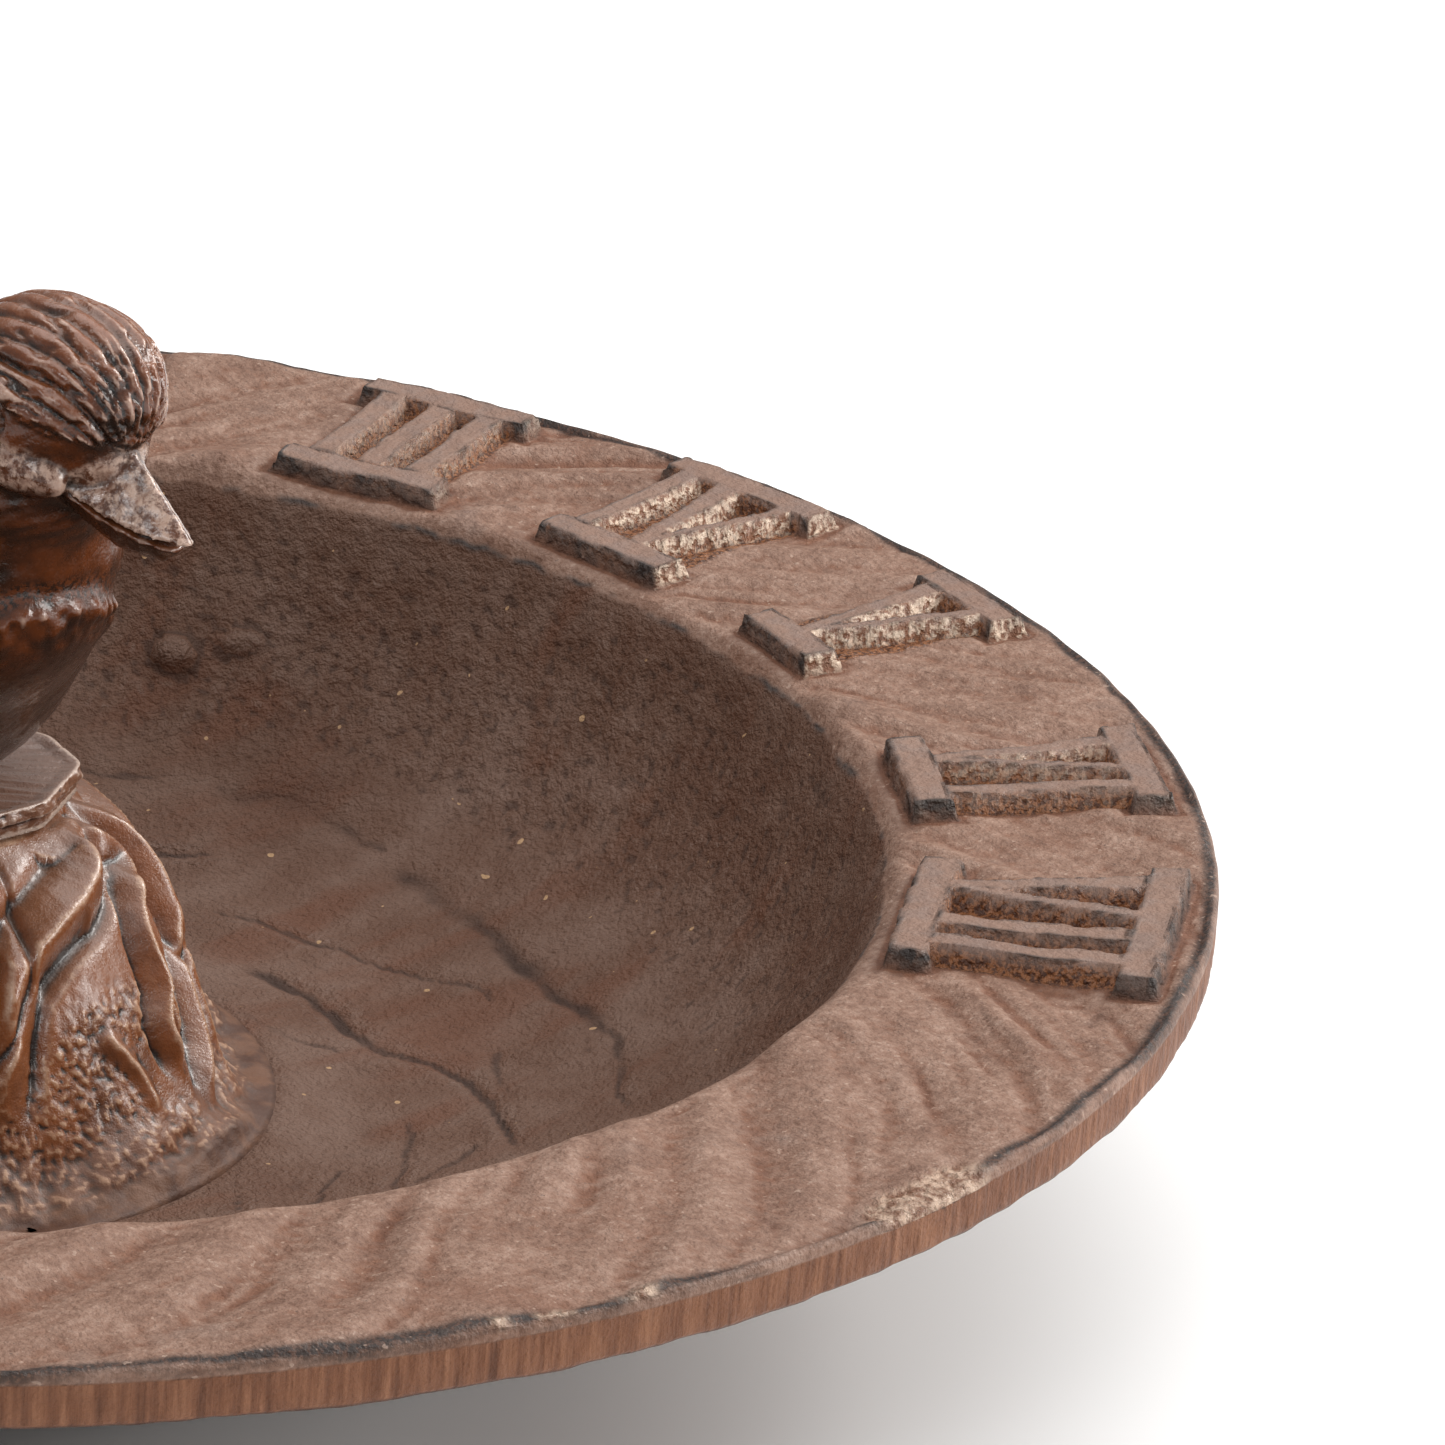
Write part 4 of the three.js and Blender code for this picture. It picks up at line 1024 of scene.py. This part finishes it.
# ------------------------------------------------------------------ materials
class Tree:
    def __init__(self, name):
        self.mat = bpy.data.materials.new(name)
        self.mat.use_nodes = True
        self.t = self.mat.node_tree
        self.t.nodes.clear()
        self.out = self.t.nodes.new("ShaderNodeOutputMaterial")
        self.p = self.t.nodes.new("ShaderNodeBsdfPrincipled")
        self.t.links.new(self.p.outputs[0], self.out.inputs[0])
        tc = self.t.nodes.new("ShaderNodeTexCoord")
        m = self.t.nodes.new("ShaderNodeMapping")
        m.inputs["Scale"].default_value = (1000, 1000, 1000)
        self.t.links.new(tc.outputs["Object"], m.inputs["Vector"])
        self.mm = m.outputs[0]

    def link(self, a, sock):
        if isinstance(a, (int, float)):
            sock.default_value = a
        elif isinstance(a, tuple):
            sock.default_value = (*a, 1.0) if len(a) == 3 else a
        else:
            self.t.links.new(a, sock)

    def stretch(self, sx, sy, sz, rot=(0, 0, 0)):
        m = self.t.nodes.new("ShaderNodeMapping")
        m.inputs["Scale"].default_value = (sx, sy, sz)
        m.inputs["Rotation"].default_value = rot
        self.t.links.new(self.mm, m.inputs["Vector"])
        return m.outputs[0]

    def noise(self, size, detail=3.0, rough=0.55, vec=None, distort=0.0):
        n = self.t.nodes.new("ShaderNodeTexNoise")
        n.inputs["Scale"].default_value = 1.0 / size
        n.inputs["Detail"].default_value = detail
        n.inputs["Roughness"].default_value = rough
        n.inputs["Distortion"].default_value = distort
        self.t.links.new(vec if vec is not None else self.mm, n.inputs["Vector"])
        return n.outputs["Fac"]

    def cells(self, size, feature="F1", vec=None):
        n = self.t.nodes.new("ShaderNodeTexVoronoi")
        n.feature = feature
        n.inputs["Scale"].default_value = 1.0 / size
        self.t.links.new(vec if vec is not None else self.mm, n.inputs["Vector"])
        return n.outputs["Distance"]

    def attr(self, name):
        n = self.t.nodes.new("ShaderNodeAttribute")
        n.attribute_name = name
        return n.outputs["Fac"]

    def math(self, op, a, b=0.0, c=None, clamp=False):
        n = self.t.nodes.new("ShaderNodeMath")
        n.operation = op
        n.use_clamp = clamp
        self.link(a, n.inputs[0])
        self.link(b, n.inputs[1])
        if c is not None:
            self.link(c, n.inputs[2])
        return n.outputs[0]

    def span(self, x, a, b, lo=0.0, hi=1.0, kind="SMOOTHSTEP"):
        n = self.t.nodes.new("ShaderNodeMapRange")
        n.interpolation_type = kind
        self.link(x, n.inputs["Value"])
        n.inputs["From Min"].default_value = a
        n.inputs["From Max"].default_value = b
        n.inputs["To Min"].default_value = lo
        n.inputs["To Max"].default_value = hi
        return n.outputs[0]

    def mix(self, fac, a, b, kind="MIX"):
        n = self.t.nodes.new("ShaderNodeMix")
        n.data_type = "RGBA"
        n.blend_type = kind
        n.clamp_factor = True
        self.link(fac, n.inputs[0])
        self.link(a, n.inputs[6])
        self.link(b, n.inputs[7])
        return n.outputs[2]

    def ramp(self, x, stops):
        n = self.t.nodes.new("ShaderNodeValToRGB")
        e = n.color_ramp.elements
        while len(e) < len(stops):
            e.new(0.5)
        for el, (pos, col) in zip(e, stops):
            el.position = pos
            el.color = (*col, 1.0)
        self.link(x, n.inputs[0])
        return n.outputs[0]

    def bump(self, height, dist_mm, strength=1.0, after=None):
        n = self.t.nodes.new("ShaderNodeBump")
        n.inputs["Strength"].default_value = strength
        n.inputs["Distance"].default_value = dist_mm * 0.001
        self.link(height, n.inputs["Height"])
        if after is not None:
            self.t.links.new(after, n.inputs["Normal"])
        return n.outputs[0]

    def add(self, a, b):
        return self.math("ADD", a, b)

    def mul(self, a, b):
        return self.math("MULTIPLY", a, b)


def srgb(r, g, b):
    return tuple((c / 255 / 12.92) if c <= 10 else ((c / 255 + 0.055) / 1.055) ** 2.4 for c in (r, g, b))


def dish_material():
    m = Tree("antique_iron_dish")
    ridge, wide, zone = m.attr("ridge"), m.attr("wide"), m.attr("zone")
    big, mid, small = m.noise(26, 3), m.noise(7, 4), m.noise(1.6, 4, 0.65)
    speck = m.noise(0.55, 2, 0.6)
    fine = m.math("SUBTRACT", small, 0.5)
    low = m.mul(ridge, -1.0)
    # dial rim: dusty pink-brown over rusty brown
    dust = m.ramp(m.add(m.add(m.mul(mid, 0.30), m.mul(small, 0.42)), m.mul(speck, 0.28)), [(0.36, srgb(108, 76, 60)), (0.5, srgb(137, 105, 88)), (0.64, srgb(164, 134, 118))])
    rust = m.ramp(small, [(0.3, srgb(88, 50, 31)), (0.55, srgb(110, 68, 46)), (0.75, srgb(130, 88, 64))])
    bare = m.span(m.add(m.add(m.mul(low, 0.45), m.mul(wide, -0.85)), m.mul(fine, 0.9)), -0.10, 0.60)
    rim = m.mix(m.mul(bare, 0.85), dust, rust)
    stain = m.span(m.noise(13, 5, 0.6, distort=0.6), 0.54, 0.70)
    rim = m.mix(m.mul(stain, 0.40), rim, srgb(116, 74, 52))
    rim = m.mix(m.span(m.noise(17, 4, 0.6), 0.58, 0.72, 0, 0.30), rim, srgb(128, 112, 104))
    rim = m.mix(m.mul(m.attr("crease"), 0.96), rim, m.mix(m.span(speck, 0.46, 0.64), srgb(38, 29, 26), srgb(76, 50, 38)))
    rim = m.mix(m.span(speck, 0.66, 0.74, 0, 0.55), rim, srgb(62, 44, 36))
    rim = m.mix(m.span(m.noise(0.8, 1), 0.70, 0.74, 0, 0.5), rim, srgb(176, 150, 134))
    # numerals: worn faces, dark edges, rust between the strokes
    face = m.mix(m.span(m.noise(3.2, 3), 0.4, 0.65), srgb(138, 110, 96), srgb(128, 107, 98))
    rim = m.mix(m.mul(m.attr("num_top"), 0.7), rim, face)
    rim = m.mix(m.mul(m.math("SUBTRACT", m.attr("num_dark"), m.attr("num_lit"), clamp=True), m.span(m.noise(1.7, 3), 0.30, 0.55, 0.45, 1.0)), rim, srgb(54, 46, 43))
    rim = m.mix(m.mul(m.attr("num_slot"), 0.92), rim, m.mix(m.span(speck, 0.40, 0.60), srgb(72, 38, 20), srgb(142, 90, 54)))
    # painted highlight: pale cream on the numeral walls turned towards the right lamp, in place of their dark edge
    painted_highlight = m.mix(m.span(m.noise(0.9, 2, 0.6), 0.40, 0.60), srgb(126, 82, 56), srgb(240, 216, 192))
    rim = m.mix(m.mul(m.attr("num_lit"), 0.95), rim, painted_highlight)
    flakes = m.mix(m.span(m.noise(1.5, 3), 0.35, 0.7), srgb(118, 80, 58), srgb(206, 178, 156))
    rim = m.mix(m.mul(m.attr("flake"), 0.9), rim, flakes)
    # bowl: dark brown, greyer where it is worn, brown in the hollows
    b1 = m.ramp(m.add(m.mul(mid, 0.5), m.mul(big, 0.5)), [(0.34, srgb(94, 60, 42)), (0.5, srgb(107, 77, 61)), (0.64, srgb(120, 93, 79))])
    streak = m.noise(9, 3, 0.5, m.stretch(0.25, 1.0, 0.6, (0, 0, math.radians(-28))))
    b1 = m.mix(m.span(streak, 0.52, 0.68, 0, 0.6), b1, srgb(106, 64, 42))
    b1 = m.mix(m.span(m.add(low, m.mul(fine, 1.3)), 0.15, 1.0, 0, 0.60), b1, srgb(58, 38, 29))
    b1 = m.mix(m.span(m.add(ridge, m.mul(fine, 0.9)), 0.25, 1.0, 0, 0.45), b1, srgb(122, 96, 82))
    b1 = m.mix(m.span(m.attr("groove"), 0.06, 0.5, 0, 0.75), b1, srgb(52, 32, 22))
    # painted glints: tiny cream sparks scattered over the bowl
    painted_glint = m.span(m.noise(1.6, 0, 0.5), 0.845, 0.855)
    b1 = m.mix(m.mul(painted_glint, 0.8), b1, srgb(196, 158, 118))
    col = m.mix(m.span(zone, 0.25, 0.75), rim, b1)
    lip = m.mul(m.span(zone, 0.03, 0.5), m.span(zone, 0.97, 0.5))
    col = m.mix(m.mul(lip, m.span(m.noise(6, 3), 0.42, 0.62)), col, srgb(66, 54, 49))
    # outer wall and underside
    lines = m.noise(0.8, 3, 0.6, m.stretch(1.0, 1.0, 0.07))
    wall = m.ramp(m.add(m.mul(lines, 0.7), m.mul(mid, 0.3)), [(0.34, srgb(92, 54, 33)), (0.5, srgb(120, 76, 51)), (0.68, srgb(146, 100, 72))])
    col = m.mix(m.span(zone, -0.4, -0.9), col, wall)
    under = m.ramp(m.add(m.mul(mid, 0.5), m.mul(small, 0.5)), [(0.35, srgb(70, 44, 32)), (0.6, srgb(98, 68, 54))])
    col = m.mix(m.span(zone, -1.4, -1.9), col, under)
    m.link(col, m.p.inputs["Base Color"])
    rough = m.math("ADD", m.span(ridge, -0.6, 0.8, 0.68, 0.47), m.mul(m.math("SUBTRACT", mid, 0.5), 0.16))
    rough = m.math("SUBTRACT", rough, m.mul(m.math("MAXIMUM", m.attr("num_slot"), m.attr("flake")), 0.20), clamp=True)
    m.link(rough, m.p.inputs["Roughness"])
    m.p.inputs["Metallic"].default_value = 0.0
    m.p.inputs["Specular IOR Level"].default_value = 0.35
    grain = m.add(m.mul(m.noise(0.95, 3, 0.6), 0.75), m.mul(m.noise(0.35, 2, 0.5), 0.25))
    n1 = m.bump(m.mul(grain, m.span(zone, 0.1, 0.8, 0.62, 1.15)), 0.9, 1.0)
    side = m.math("MAXIMUM", m.math("MAXIMUM", m.attr("num_slot"), m.attr("num_dark")), m.attr("flake"))
    n1 = m.bump(m.mul(side, m.noise(0.9, 2, 0.6)), 0.9, 0.9, n1)
    wl = m.mul(m.span(zone, -0.4, -0.9), lines)
    n2 = m.bump(wl, 0.35, 0.8, n1)
    m.t.links.new(n2, m.p.inputs["Normal"])
    return m.mat


def glossy_iron(name, dark, brown, rust, pale, dust, up_dust, rough_lo, rough_hi, grain_mm, extra=None, under=0.0):
    """Dark waxed iron: near black in the creases, rusty brown on the slopes, pale on the ridges partly from rubbing and
    partly as a painted highlight, dusty where it faces up, darkened as painted shade where it faces down.
    """
    m = Tree(name)
    ridge, wide = m.attr("ridge"), m.attr("wide")
    mid, small, speck = m.noise(6, 4), m.noise(1.3, 4, 0.65), m.noise(0.6, 2, 0.6)
    fine = m.math("SUBTRACT", small, 0.5)
    geo = m.t.nodes.new("ShaderNodeNewGeometry")
    xyz = m.t.nodes.new("ShaderNodeSeparateXYZ")
    m.t.links.new(geo.outputs["Normal"], xyz.inputs[0])
    up = xyz.outputs[2]
    base = m.mix(m.span(m.add(m.mul(wide, 0.5), m.mul(m.math("SUBTRACT", mid, 0.5), 1.4)), -0.35, 0.25), brown, rust)
    base = m.mix(m.span(m.add(m.add(m.mul(ridge, -0.7), m.mul(wide, -0.35)), m.mul(fine, 0.6)), 0.10, 0.70), base, dark)
    base = m.mix(m.mul(m.span(m.add(up, m.mul(m.math("SUBTRACT", mid, 0.5), 0.9)), 0.35, 1.0), up_dust), base, dust)
    # pale on the ridges: partly rubbed wear, partly a painted highlight
    base = m.mix(m.span(m.add(m.add(m.mul(ridge, 0.75), m.mul(wide, 0.25)), m.mul(fine, 0.8)), 0.35, 0.95, 0, 0.80), base, pale)
    # painted shade: darker where the surface faces down (the under amount)
    base = m.mix(m.span(m.add(up, m.mul(m.math("SUBTRACT", mid, 0.5), 0.5)), -0.05, -0.5, 0, under), base, dark)
    if extra:
        base = extra(m, base, ridge, wide, small, speck)
    m.link(base, m.p.inputs["Base Color"])
    foot = m.attr("foot")
    r = m.math("ADD", m.span(small, 0.3, 0.7, rough_lo, rough_hi), m.mul(ridge, -0.05), clamp=True)
    r = m.math("ADD", m.mul(r, m.math("SUBTRACT", 1.0, foot)), m.mul(foot, 0.62))
    m.link(r, m.p.inputs["Roughness"])
    m.p.inputs["Metallic"].default_value = 0.0
    m.p.inputs["Specular IOR Level"].default_value = 0.6
    m.link(m.mul(m.math("SUBTRACT", 1.0, foot), 0.30), m.p.inputs["Coat Weight"])
    m.p.inputs["Coat Roughness"].default_value = 0.15
    g = m.add(m.mul(m.noise(grain_mm, 3, 0.6), 0.6), m.mul(m.noise(grain_mm * 0.35, 2, 0.5), 0.4))
    m.t.links.new(m.bump(g, 0.22, 0.7), m.p.inputs["Normal"])
    return m.mat


def stump_extra(m, base, ridge, wide, small, speck):
    # pale on the ridges of the hammered patches: partly rubbed wear, partly a painted highlight
    base = m.mix(m.mul(m.attr("skin"), m.span(m.add(ridge, m.mul(m.math("SUBTRACT", speck, 0.5), 1.2)), 0.05, 0.7, 0, 0.62)), base, srgb(190, 150, 120))
    foot = m.mix(m.span(m.noise(5, 4, 0.6), 0.38, 0.62), srgb(80, 48, 31), srgb(114, 77, 54))
    base = m.mix(m.mul(m.attr("foot"), m.span(ridge, 0.8, 0.1, 0.15, 0.5)), base, foot)
    return m.mix(m.span(m.attr("foot"), 0.92, 0.995), base, foot)


def bird_extra(m, base, ridge, wide, small, speck):
    rubbed = m.mix(m.span(m.noise(1.2, 4, 0.7), 0.40, 0.58), srgb(84, 48, 29), srgb(200, 170, 152))
    base = m.mix(m.mul(m.attr("pale"), m.span(m.add(ridge, m.mul(m.math("SUBTRACT", small, 0.5), 1.6)), -0.5, 0.2, 0.1, 0.85)), base, rubbed)
    return m.mix(m.span(m.attr("cut"), 0.35, 0.9, 0, 0.75), base, m.mix(m.span(speck, 0.4, 0.6), srgb(28, 19, 15), srgb(104, 54, 26)))


def rubber_material():
    m = Tree("black_rubber")
    n = m.noise(0.5, 3, 0.6)
    m.link(m.ramp(n, [(0.3, (0.012, 0.012, 0.012)), (0.7, (0.03, 0.029, 0.028))]), m.p.inputs["Base Color"])
    m.link(m.span(n, 0.3, 0.7, 0.72, 0.9), m.p.inputs["Roughness"])
    m.t.links.new(m.bump(n, 0.12, 0.5), m.p.inputs["Normal"])
    return m.mat


def steel_material():
    m = Tree("zinc_steel")
    n = m.noise(0.35, 3, 0.6, m.stretch(1, 1, 0.15))
    s = m.noise(4.0, 3)
    m.link(m.mix(s, (0.50, 0.51, 0.53), (0.68, 0.68, 0.66)), m.p.inputs["Base Color"])
    m.link(m.span(n, 0.3, 0.7, 0.25, 0.42), m.p.inputs["Roughness"])
    m.p.inputs["Metallic"].default_value = 1.0
    m.t.links.new(m.bump(n, 0.05, 0.5), m.p.inputs["Normal"])
    return m.mat


# ------------------------------------------------------------------ small parts
FOOT_AT = [(52 * math.cos(math.radians(a)), 52 * math.sin(math.radians(a))) for a in (90, 210, 330)]


def make_foot(i, at):
    """A cast foot, flared where it meets the bowl, with the pad's socket."""
    prof = along([(2.5, 6.3), (2.5, 2.9)], 1.2).tolist() + along([(2.9, 2.35), (8.0, 2.3), (8.8, 2.7), (9.0, 3.6), (9.3, 5.6), (10.4, 7.4), (13.5, 8.9)], 0.5).tolist() + [(9.0, 9.3), (3.0, 9.3)]
    n = 120
    th = np.arange(n) * 2 * np.pi / n
    rows = []
    for r, z in prof:
        wob = 0.18 * noise(np.cos(th) * 3 + 5 * i, np.sin(th) * 3, z / 3.0, 90) * (r > 4)
        rr = r + wob
        rows.append(np.stack([at[0] + rr * np.cos(th), at[1] + rr * np.sin(th), np.full(n, z)], 1))
    v, q, t = stitch(rows[::-1])
    vol = np.einsum("ij,ij->i", v[q[:, 0]] - v.mean(0), np.cross(v[q[:, 2]] - v[q[:, 0]], v[q[:, 3]] - v[q[:, 1]])).sum()
    if vol < 0:
        q = q[:, ::-1]
    return mesh_object(f"dish_foot_{i}", v, q, None, {"zone": np.full(len(v), -2.0), "ridge": np.clip(relief(v, q, None, 2) / 0.15, -1, 1)})


def make_pad(i, at):
    prof = along([(0.4, 0.0), (7.2, 0.0), (7.8, 0.25), (8.0, 0.8), (8.0, 1.5), (7.7, 1.95), (2.4, 2.0), (2.2, 2.3), (2.2, 5.6), (1.9, 5.9), (0.4, 5.9)], 0.35)
    n = 96
    th = np.arange(n) * 2 * np.pi / n
    rows = [np.stack([at[0] + r * np.cos(th), at[1] + r * np.sin(th), np.full(n, z)], 1) for r, z in prof]
    v, q, t = caps(rows)
    vol = np.einsum("ij,ij->i", v[q[:, 0]] - v.mean(0), np.cross(v[q[:, 2]] - v[q[:, 0]], v[q[:, 3]] - v[q[:, 1]])).sum()
    if vol < 0:
        q, t = q[:, ::-1], t[:, ::-1]
    return mesh_object(f"foot_pad_body_{i}", v, q, t)


def make_ring(name, ri, ro, z0, z1, ease, n=96):
    prof = along([(ri, z0 + ease), (ri + ease, z0), (ro - ease, z0), (ro, z0 + ease), (ro, z1 - ease), (ro - ease, z1), (ri + ease, z1), (ri, z1 - ease)], 0.3).tolist()
    th = np.arange(n) * 2 * np.pi / n
    rows = [np.stack([r * np.cos(th), r * np.sin(th), np.full(n, z)], 1) for r, z in prof]
    v, q, t = stitch(rows)
    vol = np.einsum("ij,ij->i", v[q[:, 0]], np.cross(v[q[:, 2]] - v[q[:, 0]], v[q[:, 3]] - v[q[:, 1]])).sum()
    if vol < 0:
        q = q[:, ::-1]
    return mesh_object(name, v, q)


def make_nut():
    """Hexagon nut with chamfered corners and countersunk mouths."""
    z0, z1, n = 3.8, 8.8, 96
    th = np.arange(n) * 2 * np.pi / n
    hexr = 5.0 / np.cos(((th + math.pi / 6) % (math.pi / 3)) - math.pi / 6)
    rows = []
    for z in (z0, z0 + 0.25, z0 + 0.6, z0 + 1.0, (z0 + z1) / 2, z1 - 1.0, z1 - 0.6, z1 - 0.25, z1):
        depth = min(z - z0, z1 - z)
        rows.append(np.minimum(hexr, 4.85 + 1.75 * depth))
    body = [np.stack([r * np.cos(th), r * np.sin(th), np.full(n, z)], 1) for r, z in zip(rows, (z0, z0 + 0.25, z0 + 0.6, z0 + 1.0, (z0 + z1) / 2, z1 - 1.0, z1 - 0.6, z1 - 0.25, z1))]
    inner = [np.stack([r * np.cos(th), r * np.sin(th), np.full(n, z)], 1) for r, z in ((3.75, z1), (3.3, z1 - 0.45), (3.3, z0 + 0.45), (3.75, z0))]
    v, q, t = stitch(body + inner)
    vol = np.einsum("ij,ij->i", v[q[:, 0]], np.cross(v[q[:, 2]] - v[q[:, 0]], v[q[:, 3]] - v[q[:, 1]])).sum()
    if vol < 0:
        q = q[:, ::-1]
    return mesh_object("hex_nut_m6", v, q)


def make_stud():
    """M6 stud with its thread, pitch 1 mm, and rounded ends."""
    z0, z1, pitch, n = 2.8, 62.0, 1.0, 48
    steps = int((z1 - z0) / pitch * 8)
    th = np.arange(n) * 2 * np.pi / n
    rows = []
    for i in range(steps + 1):
        z = z0 + (z1 - z0) * i / steps
        ph = (z / pitch - th / (2 * np.pi)) % 1.0
        tooth = np.abs(ph - 0.5) * 2
        r = 3.0 - 0.55 * np.clip(1.15 * tooth - 0.1, 0, 1)
        end = min(z - z0, z1 - z)
        r = np.minimum(r, 2.2 + end)
        rows.append(np.stack([r * np.cos(th), r * np.sin(th), np.full(n, z)], 1))
    v, q, t = caps(rows)
    vol = np.einsum("ij,ij->i", v[q[:, 0]] - v.mean(0), np.cross(v[q[:, 2]] - v[q[:, 0]], v[q[:, 3]] - v[q[:, 1]])).sum()
    if vol < 0:
        q, t = q[:, ::-1], t[:, ::-1]
    return mesh_object("stud_m6", v, q, t)


def give(ob, mat, body, node):
    ob.data.materials.clear()
    ob.data.materials.append(mat)
    if node:
        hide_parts(node)
    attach(ob, body)
    return ob


# ------------------------------------------------------------------ build
iron_dish = dish_material()
iron_stump = glossy_iron("antique_iron_stump", srgb(34, 21, 15), srgb(96, 55, 32), srgb(136, 79, 43), srgb(188, 152, 126), srgb(118, 88, 70), 0.50, 0.20, 0.40, 0.6, stump_extra)
iron_slab = glossy_iron("antique_iron_slab", srgb(54, 36, 27), srgb(104, 68, 50), srgb(128, 88, 66), srgb(208, 184, 168), srgb(134, 104, 90), 0.6, 0.24, 0.42, 0.6)
iron_bird = glossy_iron("antique_iron_bird", srgb(18, 12, 9), srgb(38, 22, 14), srgb(104, 52, 21), srgb(196, 164, 146), srgb(142, 88, 56), 0.54, 0.16, 0.34, 0.9, bird_extra, 0.8)
rubber = rubber_material()
steel = steel_material()

dish = give(make_dish(), iron_dish, "base", "dish")
for i, at in enumerate(FOOT_AT, 1):
    give(make_foot(i, at), iron_dish, "base", None)
    give(make_pad(i, at), rubber, "base", f"foot_pad_{i}")
stump = give(make_stump(), iron_stump, "base", "stump")
give(make_ring("gasket_ring", 4.0, 14.0, 16.8, 18.0, 0.3), rubber, "base", "stump_gasket")
give(make_ring("seal_ring", 3.5, 9.0, 10.6, 11.9, 0.3), rubber, "base", "seal_washer")
slab = give(make_slab(), iron_slab, "figure", "perch_slab")
bird = give(make_bird(), iron_bird, "figure", "bird")
give(make_stud(), steel, "figure", "centre_stud")
give(make_ring("plain_washer", 3.5, 9.0, 9.1, 10.3, 0.2), steel, "figure", "stud_washer")
give(make_nut(), steel, "figure", "stud_nut")

# ------------------------------------------------------------------ stage, camera, light
scene = bpy.context.scene
floor_mesh = bpy.data.meshes.new("floor")
floor_mesh.from_pydata([(-4, -4, 0), (4, -4, 0), (4, 4, 0), (-4, 4, 0)], [], [(0, 1, 2, 3)])
floor = bpy.data.objects.new("floor", floor_mesh)
scene.collection.objects.link(floor)
fm = Tree("pale_floor")
fm.link(fm.mix(fm.noise(60, 2), (0.90, 0.90, 0.90), (0.93, 0.93, 0.93)), fm.p.inputs["Base Color"])
fm.p.inputs["Roughness"].default_value = 0.9
floor_mesh.materials.append(fm.mat)

cam_data = bpy.data.cameras.new("camera")
cam_data.lens = 188.84
cam_data.sensor_width = 36.0
cam_data.clip_start = 0.05
cam_data.clip_end = 20.0
cam = bpy.data.objects.new("camera", cam_data)
scene.collection.objects.link(cam)
R = np.array([[0.80584984, 0.16616279, -0.56832734], [-0.58791481, 0.33872149, -0.734591], [0.07044299, 0.92609809, 0.37064822]])
C = np.array([-0.38086820, -0.63387113, 0.35219960])
mw = Matrix.Identity(4)
for i in range(3):
    for j in range(3):
        mw[i][j] = R[i, j]
    mw[i][3] = C[i]
cam.matrix_world = mw
scene.camera = cam


def softbox(name, at, target, size, power, shape="RECTANGLE", color=(1, 1, 1)):
    d = bpy.data.lights.new(name, "AREA")
    d.shape = shape
    d.size, d.size_y = size
    d.energy = power
    d.color = color
    o = bpy.data.objects.new(name, d)
    scene.collection.objects.link(o)
    o.location = at
    o.rotation_euler = (Vector(target) - Vector(at)).to_track_quat("-Z", "Y").to_euler()
    return o


def from_view(right, back, up):
    """A place given as seen by the camera: to the right, away from it, and up."""
    a = math.radians(-31)
    return (right * math.cos(a) - back * math.sin(a), right * math.sin(a) + back * math.cos(a), up)


world = bpy.data.worlds.new("studio")
scene.world = world
world.use_nodes = True
wn = world.node_tree.nodes
wn["Background"].inputs[0].default_value = (1.0, 1.0, 1.0, 1.0)
wn["Background"].inputs[1].default_value = 0.34
softbox("top_softbox", from_view(0.25, 0.35, 1.50), (0.05, 0.05, 0.0), (2.2, 2.0), 24.0)
softbox("back_right_softbox", from_view(1.0, 0.55, 0.75), (0, 0, 0.04), (0.40, 0.40), 8.0, color=(1.0, 0.985, 0.96))
softbox("right_softbox", from_view(1.35, -0.15, 0.50), (0.03, 0, 0.04), (0.5, 0.4), 7.5, color=(1.0, 0.985, 0.96))
softbox("front_fill", from_view(-0.35, -1.05, 0.85), (0, 0, 0.05), (0.35, 0.35), 3.0)
scene.view_settings.view_transform = "Standard"
scene.view_settings.look = "None"
scene.view_settings.exposure = 0.0
